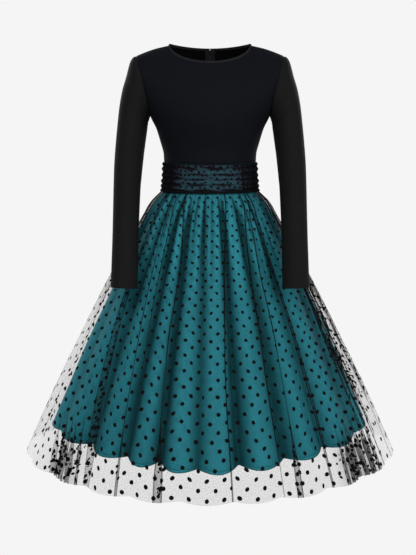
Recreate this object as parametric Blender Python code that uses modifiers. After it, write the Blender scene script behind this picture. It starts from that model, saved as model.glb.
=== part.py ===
"""An A-line dress: a knit bodice with long set-in sleeves and a back zip, a satin waistband under
ruched net, and a gathered satin underskirt below a dotted net overskirt.

Metres, +Z up. The dress faces -Y. The origin lies midway between the two neck points, on the line
of the shoulder seams, where the wearer carries it. Every cloth wall is a surface computed from the
tables below, thickened inwards.
"""

import math
from collections import namedtuple

import bmesh
import bpy
import numpy as np
from mathutils import Matrix, Vector

FRONT, BACK = -1, 1
SEAM_GAP = 0.0005
SHOULDER_GAP = 0.0013
KNIT_WALL = 0.0012
SATIN_WALL = 0.0011
NET_WALL = 0.0010

# Heights of the seams that run round the dress.
WAIST_TOP = -0.2835
WAIST_BOTTOM = -0.3545
UNDERARM = -0.1750

# The neckline, at the top of its binding and at the edge of the bodice below it.
NECK_HALF_WIDTH = 0.0975
NECK_FRONT_DROP, NECK_BACK_DROP = 0.0430, 0.0100
NECK_FRONT_DEPTH, NECK_BACK_DEPTH = 0.0720, 0.0560
BINDING_HEIGHT = 0.0045
BINDING_WALL = 0.0024
BINDING_FLARE = 0.75

SHOULDER_TIP = Vector((0.1780, 0.0, -0.0300))
SHOULDER_BOW = 0.0030
UNDERARM_POINT = Vector((0.1435, 0.0, UNDERARM))
ARMHOLE_SCOOP = 0.0040
ARMHOLE_SPREAD, SPREAD_REACH = 58.0, 0.6

# The bodice grid: rise runs from 0 at the waist seam to 1 at the neckline and shoulder seam. The
# neckline takes NECK_SHARE of each half's top edge, and the top rounds over from SHOULDER_RISE up.
UNDERARM_RISE = 0.40
NECK_SHARE = 0.60
SHOULDER_RISE = 0.70
BODICE_RISES = [0.0, 0.10, 0.20, 0.30, 0.40, 0.47, 0.54, 0.61, 0.68, 0.75, 0.82, 0.885, 0.95, 1.0]
HALF_COLUMNS = 10

TorsoRow = namedtuple("TorsoRow", "z half_width front back")
TORSO = [
    TorsoRow(-0.2835, 0.1115, 0.0930, 0.0840),
    TorsoRow(-0.2590, 0.1132, 0.0945, 0.0850),
    TorsoRow(-0.2400, 0.1185, 0.0990, 0.0880),
    TorsoRow(-0.2210, 0.1240, 0.1060, 0.0925),
    TorsoRow(-0.2020, 0.1302, 0.1130, 0.0970),
    TorsoRow(-0.1750, 0.1435, 0.1185, 0.1010),
    TorsoRow(-0.1500, 0.1500, 0.1175, 0.1030),
    TorsoRow(-0.1200, 0.1550, 0.1110, 0.1025),
    TorsoRow(-0.0900, 0.1600, 0.0990, 0.0970),
    TorsoRow(-0.0600, 0.1650, 0.0825, 0.0860),
    TorsoRow(-0.0475, 0.1680, 0.0752, 0.0795),
    TorsoRow(-0.0140, 0.1750, 0.0600, 0.0590),
]

# Each sleeve ring runs between its outer and inner point, half_depth to the front and back of mid_y.
SleeveRow = namedtuple("SleeveRow", "outer_x outer_z inner_x inner_z mid_y half_depth tilt_deg")
SLEEVE = [
    SleeveRow(0.1780, -0.0300, 0.1435, -0.1750, 0.000, 0.0620, 0),
    SleeveRow(0.1848, -0.0335, 0.1450, -0.1768, 0.000, 0.0620, 0),
    SleeveRow(0.1925, -0.0460, 0.1464, -0.1795, 0.000, 0.0614, 0),
    SleeveRow(0.2018, -0.0800, 0.1478, -0.1845, -0.001, 0.0595, 1),
    SleeveRow(0.2112, -0.1120, 0.1490, -0.1900, -0.003, 0.0572, 3),
    SleeveRow(0.2180, -0.1500, 0.1502, -0.1990, -0.008, 0.0542, 5),
    SleeveRow(0.2222, -0.1900, 0.1525, -0.2170, -0.017, 0.0508, 8),
    SleeveRow(0.2258, -0.2350, 0.1562, -0.2480, -0.034, 0.0470, 11),
    SleeveRow(0.2285, -0.2850, 0.1605, -0.2900, -0.056, 0.0440, 13),
    SleeveRow(0.2290, -0.3400, 0.1645, -0.3410, -0.082, 0.0415, 13),
    SleeveRow(0.2290, -0.4000, 0.1665, -0.3990, -0.110, 0.0395, 11),
    SleeveRow(0.2292, -0.4570, 0.1678, -0.4570, -0.136, 0.0378, 9),
    SleeveRow(0.2300, -0.5130, 0.1680, -0.5150, -0.161, 0.0362, 7),
    SleeveRow(0.2305, -0.5650, 0.1678, -0.5680, -0.184, 0.0350, 5),
]
SCOOP_FADE = 0.35

# The waistband's own outline, and the soft tucks of its net, from the top seam (0) to the bottom (1).
BandRow = namedtuple("BandRow", "share half_width front back")
BAND = [
    BandRow(0.0, 0.1118, 0.0930, 0.0840),
    BandRow(0.5, 0.1136, 0.0930, 0.0845),
    BandRow(1.0, 0.1168, 0.0950, 0.0870),
]
TuckRow = namedtuple("TuckRow", "share height reach wander")
TUCKS = [
    TuckRow(0.06, 0.0022, 0.070, 0.004),
    TuckRow(0.25, 0.0030, 0.085, 0.020),
    TuckRow(0.44, 0.0026, 0.080, -0.024),
    TuckRow(0.62, 0.0032, 0.085, 0.018),
    TuckRow(0.80, 0.0028, 0.080, -0.016),
    TuckRow(0.965, 0.0034, 0.050, 0.004),
]
TUCK_WAVES, TUCK_PHASE = 2, 1.7
BAND_SATIN_SHARES = [1.0, 0.5, 0.0]
BAND_NET_SHARES = [1.0, 0.96, 0.89, 0.80, 0.71, 0.62, 0.53, 0.44, 0.345, 0.25, 0.15, 0.06, 0.0]
BAND_STEP_DEG = 11.25

# The skirts: half_width and half_depth are their outer reach, and fold and gather how far a full
# fold and a small gather go in from it, from the waist seam (0) to the hem (1).
SkirtRow = namedtuple("SkirtRow", "share half_width half_depth fold gather")
UNDERSKIRT = [
    SkirtRow(0.000, 0.1140, 0.0925, 0.0010, 0.0012),
    SkirtRow(0.037, 0.1310, 0.1070, 0.0030, 0.0030),
    SkirtRow(0.105, 0.1565, 0.1290, 0.0070, 0.0045),
    SkirtRow(0.254, 0.1990, 0.1680, 0.0140, 0.0030),
    SkirtRow(0.425, 0.2430, 0.2090, 0.0200, 0.0012),
    SkirtRow(0.635, 0.3000, 0.2660, 0.0270, 0.0),
    SkirtRow(0.847, 0.3520, 0.3230, 0.0340, 0.0),
    SkirtRow(1.000, 0.3900, 0.3640, 0.0380, 0.0),
]
OVERSKIRT = [
    SkirtRow(0.000, 0.1200, 0.0985, 0.0010, 0.0012),
    SkirtRow(0.032, 0.1410, 0.1165, 0.0018, 0.0022),
    SkirtRow(0.092, 0.1645, 0.1370, 0.0028, 0.0022),
    SkirtRow(0.223, 0.2120, 0.1810, 0.0050, 0.0014),
    SkirtRow(0.372, 0.2626, 0.2290, 0.0080, 0.0006),
    SkirtRow(0.557, 0.3215, 0.2890, 0.0105, 0.0),
    SkirtRow(0.743, 0.3800, 0.3500, 0.0140, 0.0),
    SkirtRow(1.000, 0.4545, 0.4310, 0.0180, 0.0),
]
UNDER_SHARES = [1.0, 0.84, 0.65, 0.46, 0.30, 0.17, 0.08, 0.03, 0.0]
OVER_SHARES = [1.0, 0.80, 0.59, 0.38, 0.21, 0.09, 0.03, 0.0]

# Hem heights at the side seams, how much lower the hem hangs at the centre front and back, how
# narrow those two drops are, and how much lower it hangs at a ridge than in a full valley.
Hem = namedtuple("Hem", "side front_drop back_drop narrowing ridge_drop")
UNDER_HEM = Hem(-0.9130, 0.0450, 0.0260, 2, 0.0120)
OVER_HEM = Hem(-0.9840, 0.0280, 0.0260, 1.5, 0.0050)

# Each fold starts in a valley, start_deg round from the front, and rises to a ridge, ridge_at of
# the way to the next valley. valley and ridge are shares of the full fold depth, inwards.
FoldRow = namedtuple("FoldRow", "start_deg valley ridge_at ridge")
UNDER_FOLDS = [
    FoldRow(-180.0, 0.75, 0.50, 0.05),
    FoldRow(-165.0, 0.90, 0.45, 0.10),
    FoldRow(-149.0, 0.80, 0.55, 0.00),
    FoldRow(-134.0, 1.00, 0.50, 0.15),
    FoldRow(-120.0, 0.70, 0.50, 0.05),
    FoldRow(-105.0, 0.90, 0.45, 0.10),
    FoldRow(-90.0, 0.70, 0.50, 0.00),
    FoldRow(-70.0, 0.60, 0.45, 0.05),
    FoldRow(-49.0, 0.80, 0.50, 0.10),
    FoldRow(-31.5, 0.80, 0.55, 0.10),
    FoldRow(-18.7, 1.00, 0.50, 0.05),
    FoldRow(-4.5, 0.60, 0.50, 0.00),
    FoldRow(10.5, 0.95, 0.45, 0.05),
    FoldRow(28.0, 0.85, 0.50, 0.10),
    FoldRow(45.5, 0.75, 0.45, 0.00),
    FoldRow(66.0, 0.80, 0.50, 0.30),
    FoldRow(90.0, 0.80, 0.50, 0.25),
    FoldRow(104.0, 0.95, 0.55, 0.10),
    FoldRow(119.0, 0.75, 0.50, 0.00),
    FoldRow(135.0, 0.95, 0.45, 0.10),
    FoldRow(151.0, 0.80, 0.50, 0.05),
    FoldRow(166.0, 0.90, 0.50, 0.10),
]
OVER_FOLDS = [
    FoldRow(-180.0, 0.60, 0.50, 0.05),
    FoldRow(-162.0, 0.90, 0.50, 0.10),
    FoldRow(-147.0, 0.80, 0.45, 0.00),
    FoldRow(-129.0, 1.00, 0.55, 0.10),
    FoldRow(-112.0, 0.85, 0.50, 0.00),
    FoldRow(-90.0, 0.70, 0.50, 0.05),
    FoldRow(-73.0, 1.00, 0.45, 0.00),
    FoldRow(-56.0, 0.80, 0.50, 0.05),
    FoldRow(-40.0, 0.90, 0.50, 0.00),
    FoldRow(-24.0, 0.80, 0.50, 0.05),
    FoldRow(-9.0, 0.90, 0.50, 0.00),
    FoldRow(7.0, 0.80, 0.45, 0.05),
    FoldRow(21.0, 0.90, 0.50, 0.00),
    FoldRow(37.0, 0.90, 0.55, 0.05),
    FoldRow(52.0, 0.80, 0.50, 0.00),
    FoldRow(70.0, 1.00, 0.50, 0.05),
    FoldRow(90.0, 0.70, 0.50, 0.05),
    FoldRow(107.0, 0.90, 0.55, 0.00),
    FoldRow(126.0, 0.80, 0.50, 0.10),
    FoldRow(142.0, 1.00, 0.50, 0.00),
    FoldRow(160.0, 0.85, 0.50, 0.05),
]
UNDER_STEPS = [0.0, 0.15, 0.33, 0.50, 0.67, 0.85]
OVER_STEPS = [0.0, 0.14, 0.36, 0.64, 0.86]
FOLD_ROUNDNESS = 0.85

# steps: where in each fold the points of a ring lie.
Skirt = namedtuple("Skirt", "rows shares folds steps hem wall")
UNDER = Skirt(UNDERSKIRT, UNDER_SHARES, UNDER_FOLDS, UNDER_STEPS, UNDER_HEM, SATIN_WALL)
OVER = Skirt(OVERSKIRT, OVER_SHARES, OVER_FOLDS, OVER_STEPS, OVER_HEM, NET_WALL)
SKIRT_TOP = WAIST_BOTTOM - SEAM_GAP

# The back zip: two tapes inside the back panels, a slider at the top and its pull tab.
TAPE_REACHES = [0.0006, 0.0045, 0.0082, 0.0118]
TAPE_WALL = 0.0010
TAPE_CLEARANCE = 0.0006
TAPE_SKIRT_ROWS = 4
SLIDER_RISE, SLIDER_SPAN = 0.925, 0.03
SLIDER_CLEARANCE = 0.0002
SLIDER_SIZE = Vector((0.0050, 0.0016, 0.0090))
BRIDGE_SIZE = Vector((0.0016, 0.0024, 0.0064))
BRIDGE_ROOT = 0.0002
BRIDGE_HOLE = Vector((0.0040, 0.0015, 0.0046))
PULL_SIZE = Vector((0.0050, 0.0009, 0.0220))
PULL_WINDOW = Vector((0.0026, 0.0040, 0.0042))
PULL_BAR = 0.0009

# Finishes: colour, roughness and metallic value.
Finish = namedtuple("Finish", "colour roughness metallic")
FINISHES = {
    "knit": Finish((0.010, 0.011, 0.014), 0.85, 0.0),
    "satin": Finish((0.022, 0.135, 0.160), 0.42, 0.0),
    "net": Finish((0.012, 0.012, 0.014), 0.80, 0.0),
    "tape": Finish((0.012, 0.012, 0.014), 0.80, 0.0),
    "zip_metal": Finish((0.020, 0.020, 0.022), 0.35, 0.6),
}


def clear_scene():
    for obj in list(bpy.data.objects):
        bpy.data.objects.remove(obj, do_unlink=True)


def make_collection(name):
    collection = bpy.data.collections.new(name)
    bpy.context.scene.collection.children.link(collection)
    return collection


def make_material(name, finish):
    material = bpy.data.materials.new(name)
    material.use_nodes = True
    shader = material.node_tree.nodes["Principled BSDF"]
    shader.inputs["Base Color"].default_value = (*finish.colour, 1.0)
    shader.inputs["Roughness"].default_value = finish.roughness
    shader.inputs["Metallic"].default_value = finish.metallic
    return material


def read(table, column, place):
    """A column of a table at a place between its rows, on a smooth curve through them."""
    places = np.array([row[0] for row in table])
    values = np.array([getattr(row, column) for row in table])
    slopes = np.gradient(values, places)
    i = int(np.clip(np.searchsorted(places, place) - 1, 0, len(places) - 2))
    span = places[i + 1] - places[i]
    t = min(max((place - places[i]) / span, 0.0), 1.0)
    start, end = (1 + 2 * t) * (1 - t) ** 2, t * t * (3 - 2 * t)
    lead, trail = t * (1 - t) ** 2 * span, t * t * (t - 1) * span
    value = start * values[i] + end * values[i + 1] + lead * slopes[i] + trail * slopes[i + 1]
    return float(value)


def smooth_step(low, high, value):
    t = min(max((value - low) / (high - low), 0.0), 1.0)
    return t * t * (3 - 2 * t)


def cloth_wall(name, rows, thickness, material, collection, closed=False, offset=-1.0):
    """A cloth wall. Rows of points run upwards, and turn anticlockwise seen from above, on its
    outside; Solidify gives it its thickness, inwards unless offset says otherwise."""
    bm = bmesh.new()
    grid = [[bm.verts.new(point) for point in row] for row in rows]
    columns = len(rows[0])
    for low, high in zip(grid, grid[1:]):
        for i in range(columns if closed else columns - 1):
            j = (i + 1) % columns
            bm.faces.new((low[i], low[j], high[j], high[i]))
    mesh = bpy.data.meshes.new(name)
    bm.to_mesh(mesh)
    bm.free()
    mesh.shade_smooth()
    mesh.materials.append(material)
    obj = bpy.data.objects.new(name, mesh)
    collection.objects.link(obj)
    solidify = obj.modifiers.new("Wall", "SOLIDIFY")
    solidify.thickness = thickness
    solidify.offset = offset
    return obj


def sleeve_point(row, turn_deg, scoop):
    """A point on a right sleeve's ring: turn 0 at its outer point, 90 at the front, 180 inside."""
    outer = Vector((row.outer_x, row.mid_y, row.outer_z))
    inner = Vector((row.inner_x, row.mid_y, row.inner_z))
    turn, tilt = math.radians(turn_deg), math.radians(row.tilt_deg)
    forward = Vector((0.0, -math.cos(tilt), math.sin(tilt)))
    across = (outer - inner) / 2
    point = (outer + inner) / 2 + across * math.cos(turn)
    point += forward * row.half_depth * math.sin(turn)
    point.x -= scoop * math.sin(turn) ** 2
    return point


def armhole_point(turn_deg):
    return sleeve_point(SLEEVE[0], turn_deg, ARMHOLE_SCOOP)


def armhole_turn(rise):
    """Where a row of the bodice meets the front half of the armhole."""
    return 180.0 * (1 - rise) / (1 - UNDERARM_RISE)


def neck_point(turn_deg, lip):
    """A point on the neckline, turned from the front: lip is 0 at the bodice's edge and 1 at the
    top of the binding."""
    turn = math.radians(turn_deg)
    forward = math.cos(turn)
    below = BINDING_HEIGHT * (1 - lip)
    depth, drop = (NECK_FRONT_DEPTH, NECK_FRONT_DROP * forward)
    if forward < 0:
        depth, drop = (NECK_BACK_DEPTH, NECK_BACK_DROP * forward**2)
    outward = BINDING_FLARE * below
    return Vector((
        (NECK_HALF_WIDTH + outward) * math.sin(turn),
        -(depth + outward) * forward,
        -drop - below,
    ))


def top_edge(share, face):
    """The bodice's top edge from the centre (0) to the shoulder tip (1): neckline, then shoulder."""
    if share <= NECK_SHARE:
        turn = 90.0 * share / NECK_SHARE
        return neck_point(turn if face == FRONT else 180.0 - turn, 0.0)
    along_seam = (share - NECK_SHARE) / (1 - NECK_SHARE)
    point = neck_point(90.0, 0.0).lerp(SHOULDER_TIP, along_seam)
    point.z += SHOULDER_BOW * math.sin(math.pi * along_seam)
    return point


def torso_point(share, rise, face):
    """A point of the bodice before its top is rounded over: share runs from the centre (0) to the
    side seam and armhole (1)."""
    over = max((rise - UNDERARM_RISE) / (1 - UNDERARM_RISE), 0.0)
    if over == 0.0:
        height = WAIST_TOP + (UNDERARM - WAIST_TOP) * rise / UNDERARM_RISE
        edge = Vector((read(TORSO, "half_width", height), 0.0, height))
    else:
        height = UNDERARM + (top_edge(0.0, face).z - UNDERARM) * over
        edge = armhole_point(armhole_turn(rise))
        edge.y *= -face
    depth = read(TORSO, "front" if face == FRONT else "back", height)
    spread = math.radians(90.0 + (ARMHOLE_SPREAD - 90.0) * smooth_step(0.0, SPREAD_REACH, over))
    angle = share * spread
    toward = (math.cos(angle) - math.cos(spread)) / (1 - math.cos(spread))
    return Vector((
        edge.x * math.sin(angle) / math.sin(spread),
        edge.y + (face * depth - edge.y) * toward,
        height + (edge.z - height) * share**2,
    ))


def bodice_point(across, rise, face):
    """A point on the outside of the bodice: across runs from -1 to 1, from one side to the other."""
    share = abs(across)
    point = torso_point(share, rise, face)
    short = top_edge(share, face) - torso_point(share, 1.0, face)
    turn_in = (rise - SHOULDER_RISE) / (1 - SHOULDER_RISE)
    quarter = math.radians(90.0) * max(turn_in, 0.0)
    point.x += short.x * math.sin(quarter)
    point.y += short.y * (1 - math.cos(quarter))
    point.z += short.z * math.sin(quarter) ** 2
    point.x *= math.copysign(1.0, across)
    point.y += face * (SEAM_GAP + (SHOULDER_GAP - SEAM_GAP) * math.sin(quarter)) / 2
    return point


def band_surface(turn_deg, share):
    """The waistband's satin surface, turned from the front, from its top (0) to its bottom (1)."""
    turn = math.radians(turn_deg)
    face = "front" if math.cos(turn) > 0 else "back"
    return Vector((
        read(BAND, "half_width", share) * math.sin(turn),
        -read(BAND, face, share) * math.cos(turn),
        WAIST_TOP - SEAM_GAP + (WAIST_BOTTOM - WAIST_TOP + SEAM_GAP) * share,
    ))


def tuck_height(turn_deg, share):
    """How far the ruched net stands off the satin, over its wall: six uneven horizontal tucks."""
    height = 0.0
    for number, tuck in enumerate(TUCKS):
        wave = math.radians(TUCK_WAVES * turn_deg) + TUCK_PHASE * number
        place = tuck.share + tuck.wander * math.sin(wave)
        near = abs(share - place) / tuck.reach
        height = max(height, tuck.height * math.cos(min(near, 1.0) * math.pi / 2))
    return height


def band_net_point(turn_deg, share):
    out = NET_WALL + SEAM_GAP + tuck_height(turn_deg, share)
    point = band_surface(turn_deg, share)
    turn = math.radians(turn_deg)
    return point + Vector((math.sin(turn), -math.cos(turn), 0.0)) * out


def fold_at(folds, turn_deg):
    """The fold at a turn: how far across it the turn lies, from 0 to 1 with its ridge at 0.5, and
    how far in a skirt lies there, from 0 on its outer reach to 1 in the deepest valley."""
    turn = (turn_deg + 180.0) % 360.0 - 180.0
    i = max(k for k, fold in enumerate(folds) if fold.start_deg <= turn + 1e-9)
    fold, after = folds[i], folds[(i + 1) % len(folds)]
    end = after.start_deg if i + 1 < len(folds) else 180.0
    across = (turn - fold.start_deg) / (end - fold.start_deg)
    if across < fold.ridge_at:
        across = 0.5 * across / fold.ridge_at
    else:
        across = 1 - 0.5 * (1 - across) / (1 - fold.ridge_at)
    valley = fold.valley if across < 0.5 else after.valley
    risen = max(math.sin(math.pi * across), 0.0) ** FOLD_ROUNDNESS
    return across, valley + (fold.ridge - valley) * risen


def skirt_point(skirt, turn_deg, share):
    """A point on the outside of a skirt, turned from the front, from the waist (0) to the hem (1).
    Each fold rises out of two small gathers at the waist."""
    turn = math.radians(turn_deg)
    across, inward = fold_at(skirt.folds, turn_deg)
    gather = 0.5 + 0.5 * math.cos(4 * math.pi * across)
    depth = read(skirt.rows, "fold", share) * inward + read(skirt.rows, "gather", share) * gather
    lower = skirt.hem.front_drop if math.cos(turn) > 0 else skirt.hem.back_drop
    drop = lower * abs(math.cos(turn)) ** skirt.hem.narrowing
    hem = skirt.hem.side - drop - skirt.hem.ridge_drop * (0.5 - inward)
    return Vector((
        (read(skirt.rows, "half_width", share) - depth) * math.sin(turn),
        -(read(skirt.rows, "half_depth", share) - depth) * math.cos(turn),
        SKIRT_TOP + (hem - SKIRT_TOP) * share,
    ))


def seam_margin(turn_deg, reach_x, reach_y):
    """The turn, in degrees, that opens half a seam gap where a seam crosses a ring."""
    turn = math.radians(turn_deg)
    speed = math.hypot(reach_x * math.cos(turn), reach_y * math.sin(turn))
    return math.degrees(SEAM_GAP / 2 / speed)


def build_bodice(collection, knit):
    """The front panel, and two back panels that meet at the zip. Returns the panels' rows."""
    shares = [i / HALF_COLUMNS for i in range(HALF_COLUMNS + 1)]
    inwards = list(reversed(shares))
    columns = {
        "front": (FRONT, [-share for share in inwards] + shares[1:]),
        "back_left": (BACK, inwards),
        "back_right": (BACK, [-share for share in shares]),
    }
    panels = {}
    for panel, (face, across) in columns.items():
        panels[panel] = [[bodice_point(u, rise, face) for u in across] for rise in BODICE_RISES]
    for row in panels["back_left"]:
        row[-1].x = SEAM_GAP / 2
    for row in panels["back_right"]:
        row[0].x = -SEAM_GAP / 2
    for panel, rows in panels.items():
        cloth_wall(f"bodice_{panel}", rows, KNIT_WALL, knit, collection)
    return panels


def build_sleeve(name, side, collection, knit):
    """A one-piece sleeve, from the armhole seam to the open cuff."""
    away = Vector((SHOULDER_TIP.z - UNDERARM, 0.0, UNDERARM_POINT.x - SHOULDER_TIP.x)).normalized()
    front_turns = [armhole_turn(rise) for rise in BODICE_RISES if rise >= UNDERARM_RISE]
    turns = front_turns[::-1] + [-turn for turn in front_turns[1:-1]]
    rows = []
    for number, row in enumerate(SLEEVE):
        scoop = ARMHOLE_SCOOP * SCOOP_FADE**number
        ring = [sleeve_point(row, turn, scoop) + away * SEAM_GAP for turn in turns]
        rows.append([Vector((side * p.x, p.y, p.z)) for p in ring])
    rows.reverse()
    if side > 0:
        rows = [row[::-1] for row in rows]
    cloth_wall(name, rows, KNIT_WALL, knit, collection, closed=True)


def build_neck_binding(collection, knit):
    """A folded strip round the neckline, open at the zip."""
    step = 90.0 / (NECK_SHARE * HALF_COLUMNS)
    turns = panel_turns(list(np.arange(-180.0, 180.0 + step / 2, step)), NECK_HALF_WIDTH, NECK_BACK_DEPTH)
    lips = [SEAM_GAP / BINDING_HEIGHT, 0.5, 1.0]
    inward = KNIT_WALL / 2
    rows = []
    for lip in lips:
        row = [neck_point(turn, lip) for turn in turns]
        rows.append([p - Vector((p.x, p.y, 0.0)).normalized() * inward for p in row])
    cloth_wall("neck_binding", rows, BINDING_WALL, knit, collection, offset=0.0)


def panel_turns(turns, reach_x, reach_y):
    """The turns of a panel, with its two ends drawn in by half a seam gap."""
    first = turns[0] + seam_margin(turns[0], reach_x, reach_y)
    last = turns[-1] - seam_margin(turns[-1], reach_x, reach_y)
    return [first, *turns[1:-1], last]


PANELS = {"front": (-90.0, 90.0), "back_left": (90.0, 180.0), "back_right": (-180.0, -90.0)}


def build_waistband(collection, satin, net):
    """The satin band, and the net ruched over it, each a front and two back pieces. Returns the
    satin's rows."""
    panels = {}
    for panel, (low, high) in PANELS.items():
        steps = round((high - low) / BAND_STEP_DEG)
        turns = [low + (high - low) * i / steps for i in range(steps + 1)]
        turns = panel_turns(turns, BAND[1].half_width, BAND[1].front)
        rows = [[band_surface(turn, share) for turn in turns] for share in BAND_SATIN_SHARES]
        cloth_wall(f"waistband_{panel}", rows, SATIN_WALL, satin, collection)
        panels[panel] = rows
        rows = [[band_net_point(turn, share) for turn in turns] for share in BAND_NET_SHARES]
        cloth_wall(f"band_net_{panel}", rows, NET_WALL, net, collection)
    return panels


def fold_turns(skirt, low, high):
    """The turns at which a skirt's rings are laid out: the same few in every fold."""
    turns = []
    for i, fold in enumerate(skirt.folds):
        end = skirt.folds[i + 1].start_deg if i + 1 < len(skirt.folds) else 180.0
        turns += [fold.start_deg + (end - fold.start_deg) * step for step in skirt.steps]
    return [turn for turn in turns if low - 1e-6 <= turn < high - 1e-6] + [high]


def build_skirt(name, skirt, material, collection):
    """A gathered skirt: a front panel and two back panels, seamed in valleys of its folds.
    Returns the panels' rows."""
    panels = {}
    for panel, (low, high) in PANELS.items():
        turns = fold_turns(skirt, low, high)
        turns = panel_turns(turns, skirt.rows[0].half_width, skirt.rows[0].half_depth)
        panels[panel] = [[skirt_point(skirt, turn, share) for turn in turns] for share in skirt.shares]
        cloth_wall(f"{name}_{panel}", panels[panel], skirt.wall, material, collection)
    return panels


def build_zip_tapes(bodice, waistband, underskirt, collection, tape):
    """The zip's two tapes, a short way inside the back panels, the waistband and the top of the
    underskirt."""
    for side in ("left", "right"):
        rows = []
        for panels, wall in ((underskirt, SATIN_WALL), (waistband, SATIN_WALL), (bodice, KNIT_WALL)):
            inside = inset(panels[f"back_{side}"], wall + TAPE_CLEARANCE)
            rows += inside[-TAPE_SKIRT_ROWS:] if panels is underskirt else inside
        if side == "left":
            rows = [[along(row[::-1], reach) for reach in TAPE_REACHES[::-1]] for row in rows]
        else:
            rows = [[along(row, reach) for reach in TAPE_REACHES] for row in rows]
        cloth_wall(f"zip_tape_{side}", rows, TAPE_WALL, tape, collection)


def inset(rows, depth):
    """A grid of points moved inwards, against the outward normal of its own surface."""
    moved = []
    for i, row in enumerate(rows):
        above, below = rows[min(i + 1, len(rows) - 1)], rows[max(i - 1, 0)]
        line = []
        for k, point in enumerate(row):
            across = row[min(k + 1, len(row) - 1)] - row[max(k - 1, 0)]
            line.append(point - across.cross(above[k] - below[k]).normalized() * depth)
        moved.append(line)
    return moved


def along(points, distance):
    """The point that lies a distance along a line of points, from its first."""
    for here, there in zip(points, points[1:]):
        step = (there - here).length
        if distance <= step:
            return here.lerp(there, distance / step)
        distance -= step
    return points[-1]


def block(name, size, centre, collection, material=None):
    """A plain box, from the cube primitive."""
    bpy.ops.mesh.primitive_cube_add(size=1.0)
    obj = bpy.context.object
    obj.name = name
    obj.data.transform(Matrix.Translation(centre) @ Matrix.Diagonal((*size, 1.0)))
    for owner in list(obj.users_collection):
        owner.objects.unlink(obj)
    collection.objects.link(obj)
    if material:
        obj.data.materials.append(material)
    return obj


def combine(obj, other, operation):
    modifier = obj.modifiers.new(operation.title(), "BOOLEAN")
    modifier.operation = operation
    modifier.object = other
    other.hide_render = True
    other.display_type = "WIRE"


def slider_frame():
    """Where the slider lies: on the outside of the centre back, leaning with the cloth."""
    here = bodice_point(0.0, SLIDER_RISE, BACK)
    above = bodice_point(0.0, SLIDER_RISE + SLIDER_SPAN, BACK)
    below = bodice_point(0.0, SLIDER_RISE - SLIDER_SPAN, BACK)
    up = (above - below).normalized()
    out = Vector((1.0, 0.0, 0.0)).cross(up) * -1.0
    frame = Matrix((Vector((1.0, 0.0, 0.0)), out, up)).transposed().to_4x4()
    frame.translation = here + out * SLIDER_CLEARANCE
    return frame


def build_zip_slider(collection, cutters, metal):
    """The slider's plate with its bridge, and the pull tab whose bar hangs in the bridge, and which
    has its origin on the line about which it turns."""
    carrier = bpy.data.objects.new("zip_carrier", None)
    collection.objects.link(carrier)
    carrier.matrix_world = slider_frame()
    axis_out = SLIDER_SIZE.y + BRIDGE_HOLE.y / 2

    plate_centre = Vector((0.0, SLIDER_SIZE.y / 2, 0.0))
    slider = block("zip_slider", SLIDER_SIZE, plate_centre, collection, metal)
    bridge_centre = Vector((0.0, SLIDER_SIZE.y + BRIDGE_SIZE.y / 2 - BRIDGE_ROOT, 0.0))
    bridge = block("slider_bridge", BRIDGE_SIZE, bridge_centre, cutters)
    hole_centre = Vector((0.0, axis_out, 0.0))
    hole = block("slider_bridge_hole", BRIDGE_HOLE, hole_centre, cutters)
    combine(slider, bridge, "UNION")
    combine(slider, hole, "DIFFERENCE")

    pull_centre = Vector((0.0, 0.0, PULL_BAR / 2 - PULL_SIZE.z / 2))
    pull = block("zip_pull", PULL_SIZE, pull_centre, collection, metal)
    window_centre = Vector((0.0, 0.0, -(PULL_BAR + PULL_WINDOW.z) / 2))
    window = block("pull_window", PULL_WINDOW, window_centre, cutters)
    combine(pull, window, "DIFFERENCE")

    for obj, out in ((slider, 0.0), (bridge, 0.0), (hole, 0.0), (pull, axis_out), (window, axis_out)):
        obj.parent = carrier
        obj.location = (0.0, out, 0.0)


def main():
    clear_scene()
    dress = make_collection("a_line_dress")
    cutters = make_collection("cutters")
    material = {name: make_material(name, finish) for name, finish in FINISHES.items()}
    bodice = build_bodice(dress, material["knit"])
    build_sleeve("sleeve_left", 1, dress, material["knit"])
    build_sleeve("sleeve_right", -1, dress, material["knit"])
    build_neck_binding(dress, material["knit"])
    waistband = build_waistband(dress, material["satin"], material["net"])
    underskirt = build_skirt("underskirt", UNDER, material["satin"], dress)
    build_skirt("overskirt", OVER, material["net"], dress)
    build_zip_tapes(bodice, waistband, underskirt, dress, material["tape"])
    build_zip_slider(dress, cutters, material["zip_metal"])


if __name__ == "__main__":
    main()
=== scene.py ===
"""The looks of an A-line dress: knit bodice and sleeves, ruched net over a satin waistband, a gathered
satin underskirt and a net overskirt with flocked dots, with their seams, stitches and back zip.

Metres, +Z up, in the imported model's frame: the dress faces -Y, +X is the wearer's left, and the
origin lies midway between the two neck points. Every cloth is a thin sheet on its solid's surface.
"""

import math
from collections import namedtuple

import bmesh
import bpy
import numpy as np
from bpy.props import FloatProperty, FloatVectorProperty, PointerProperty
from bpy.types import Operator, Panel, PropertyGroup
from mathutils import Matrix, Vector


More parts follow.
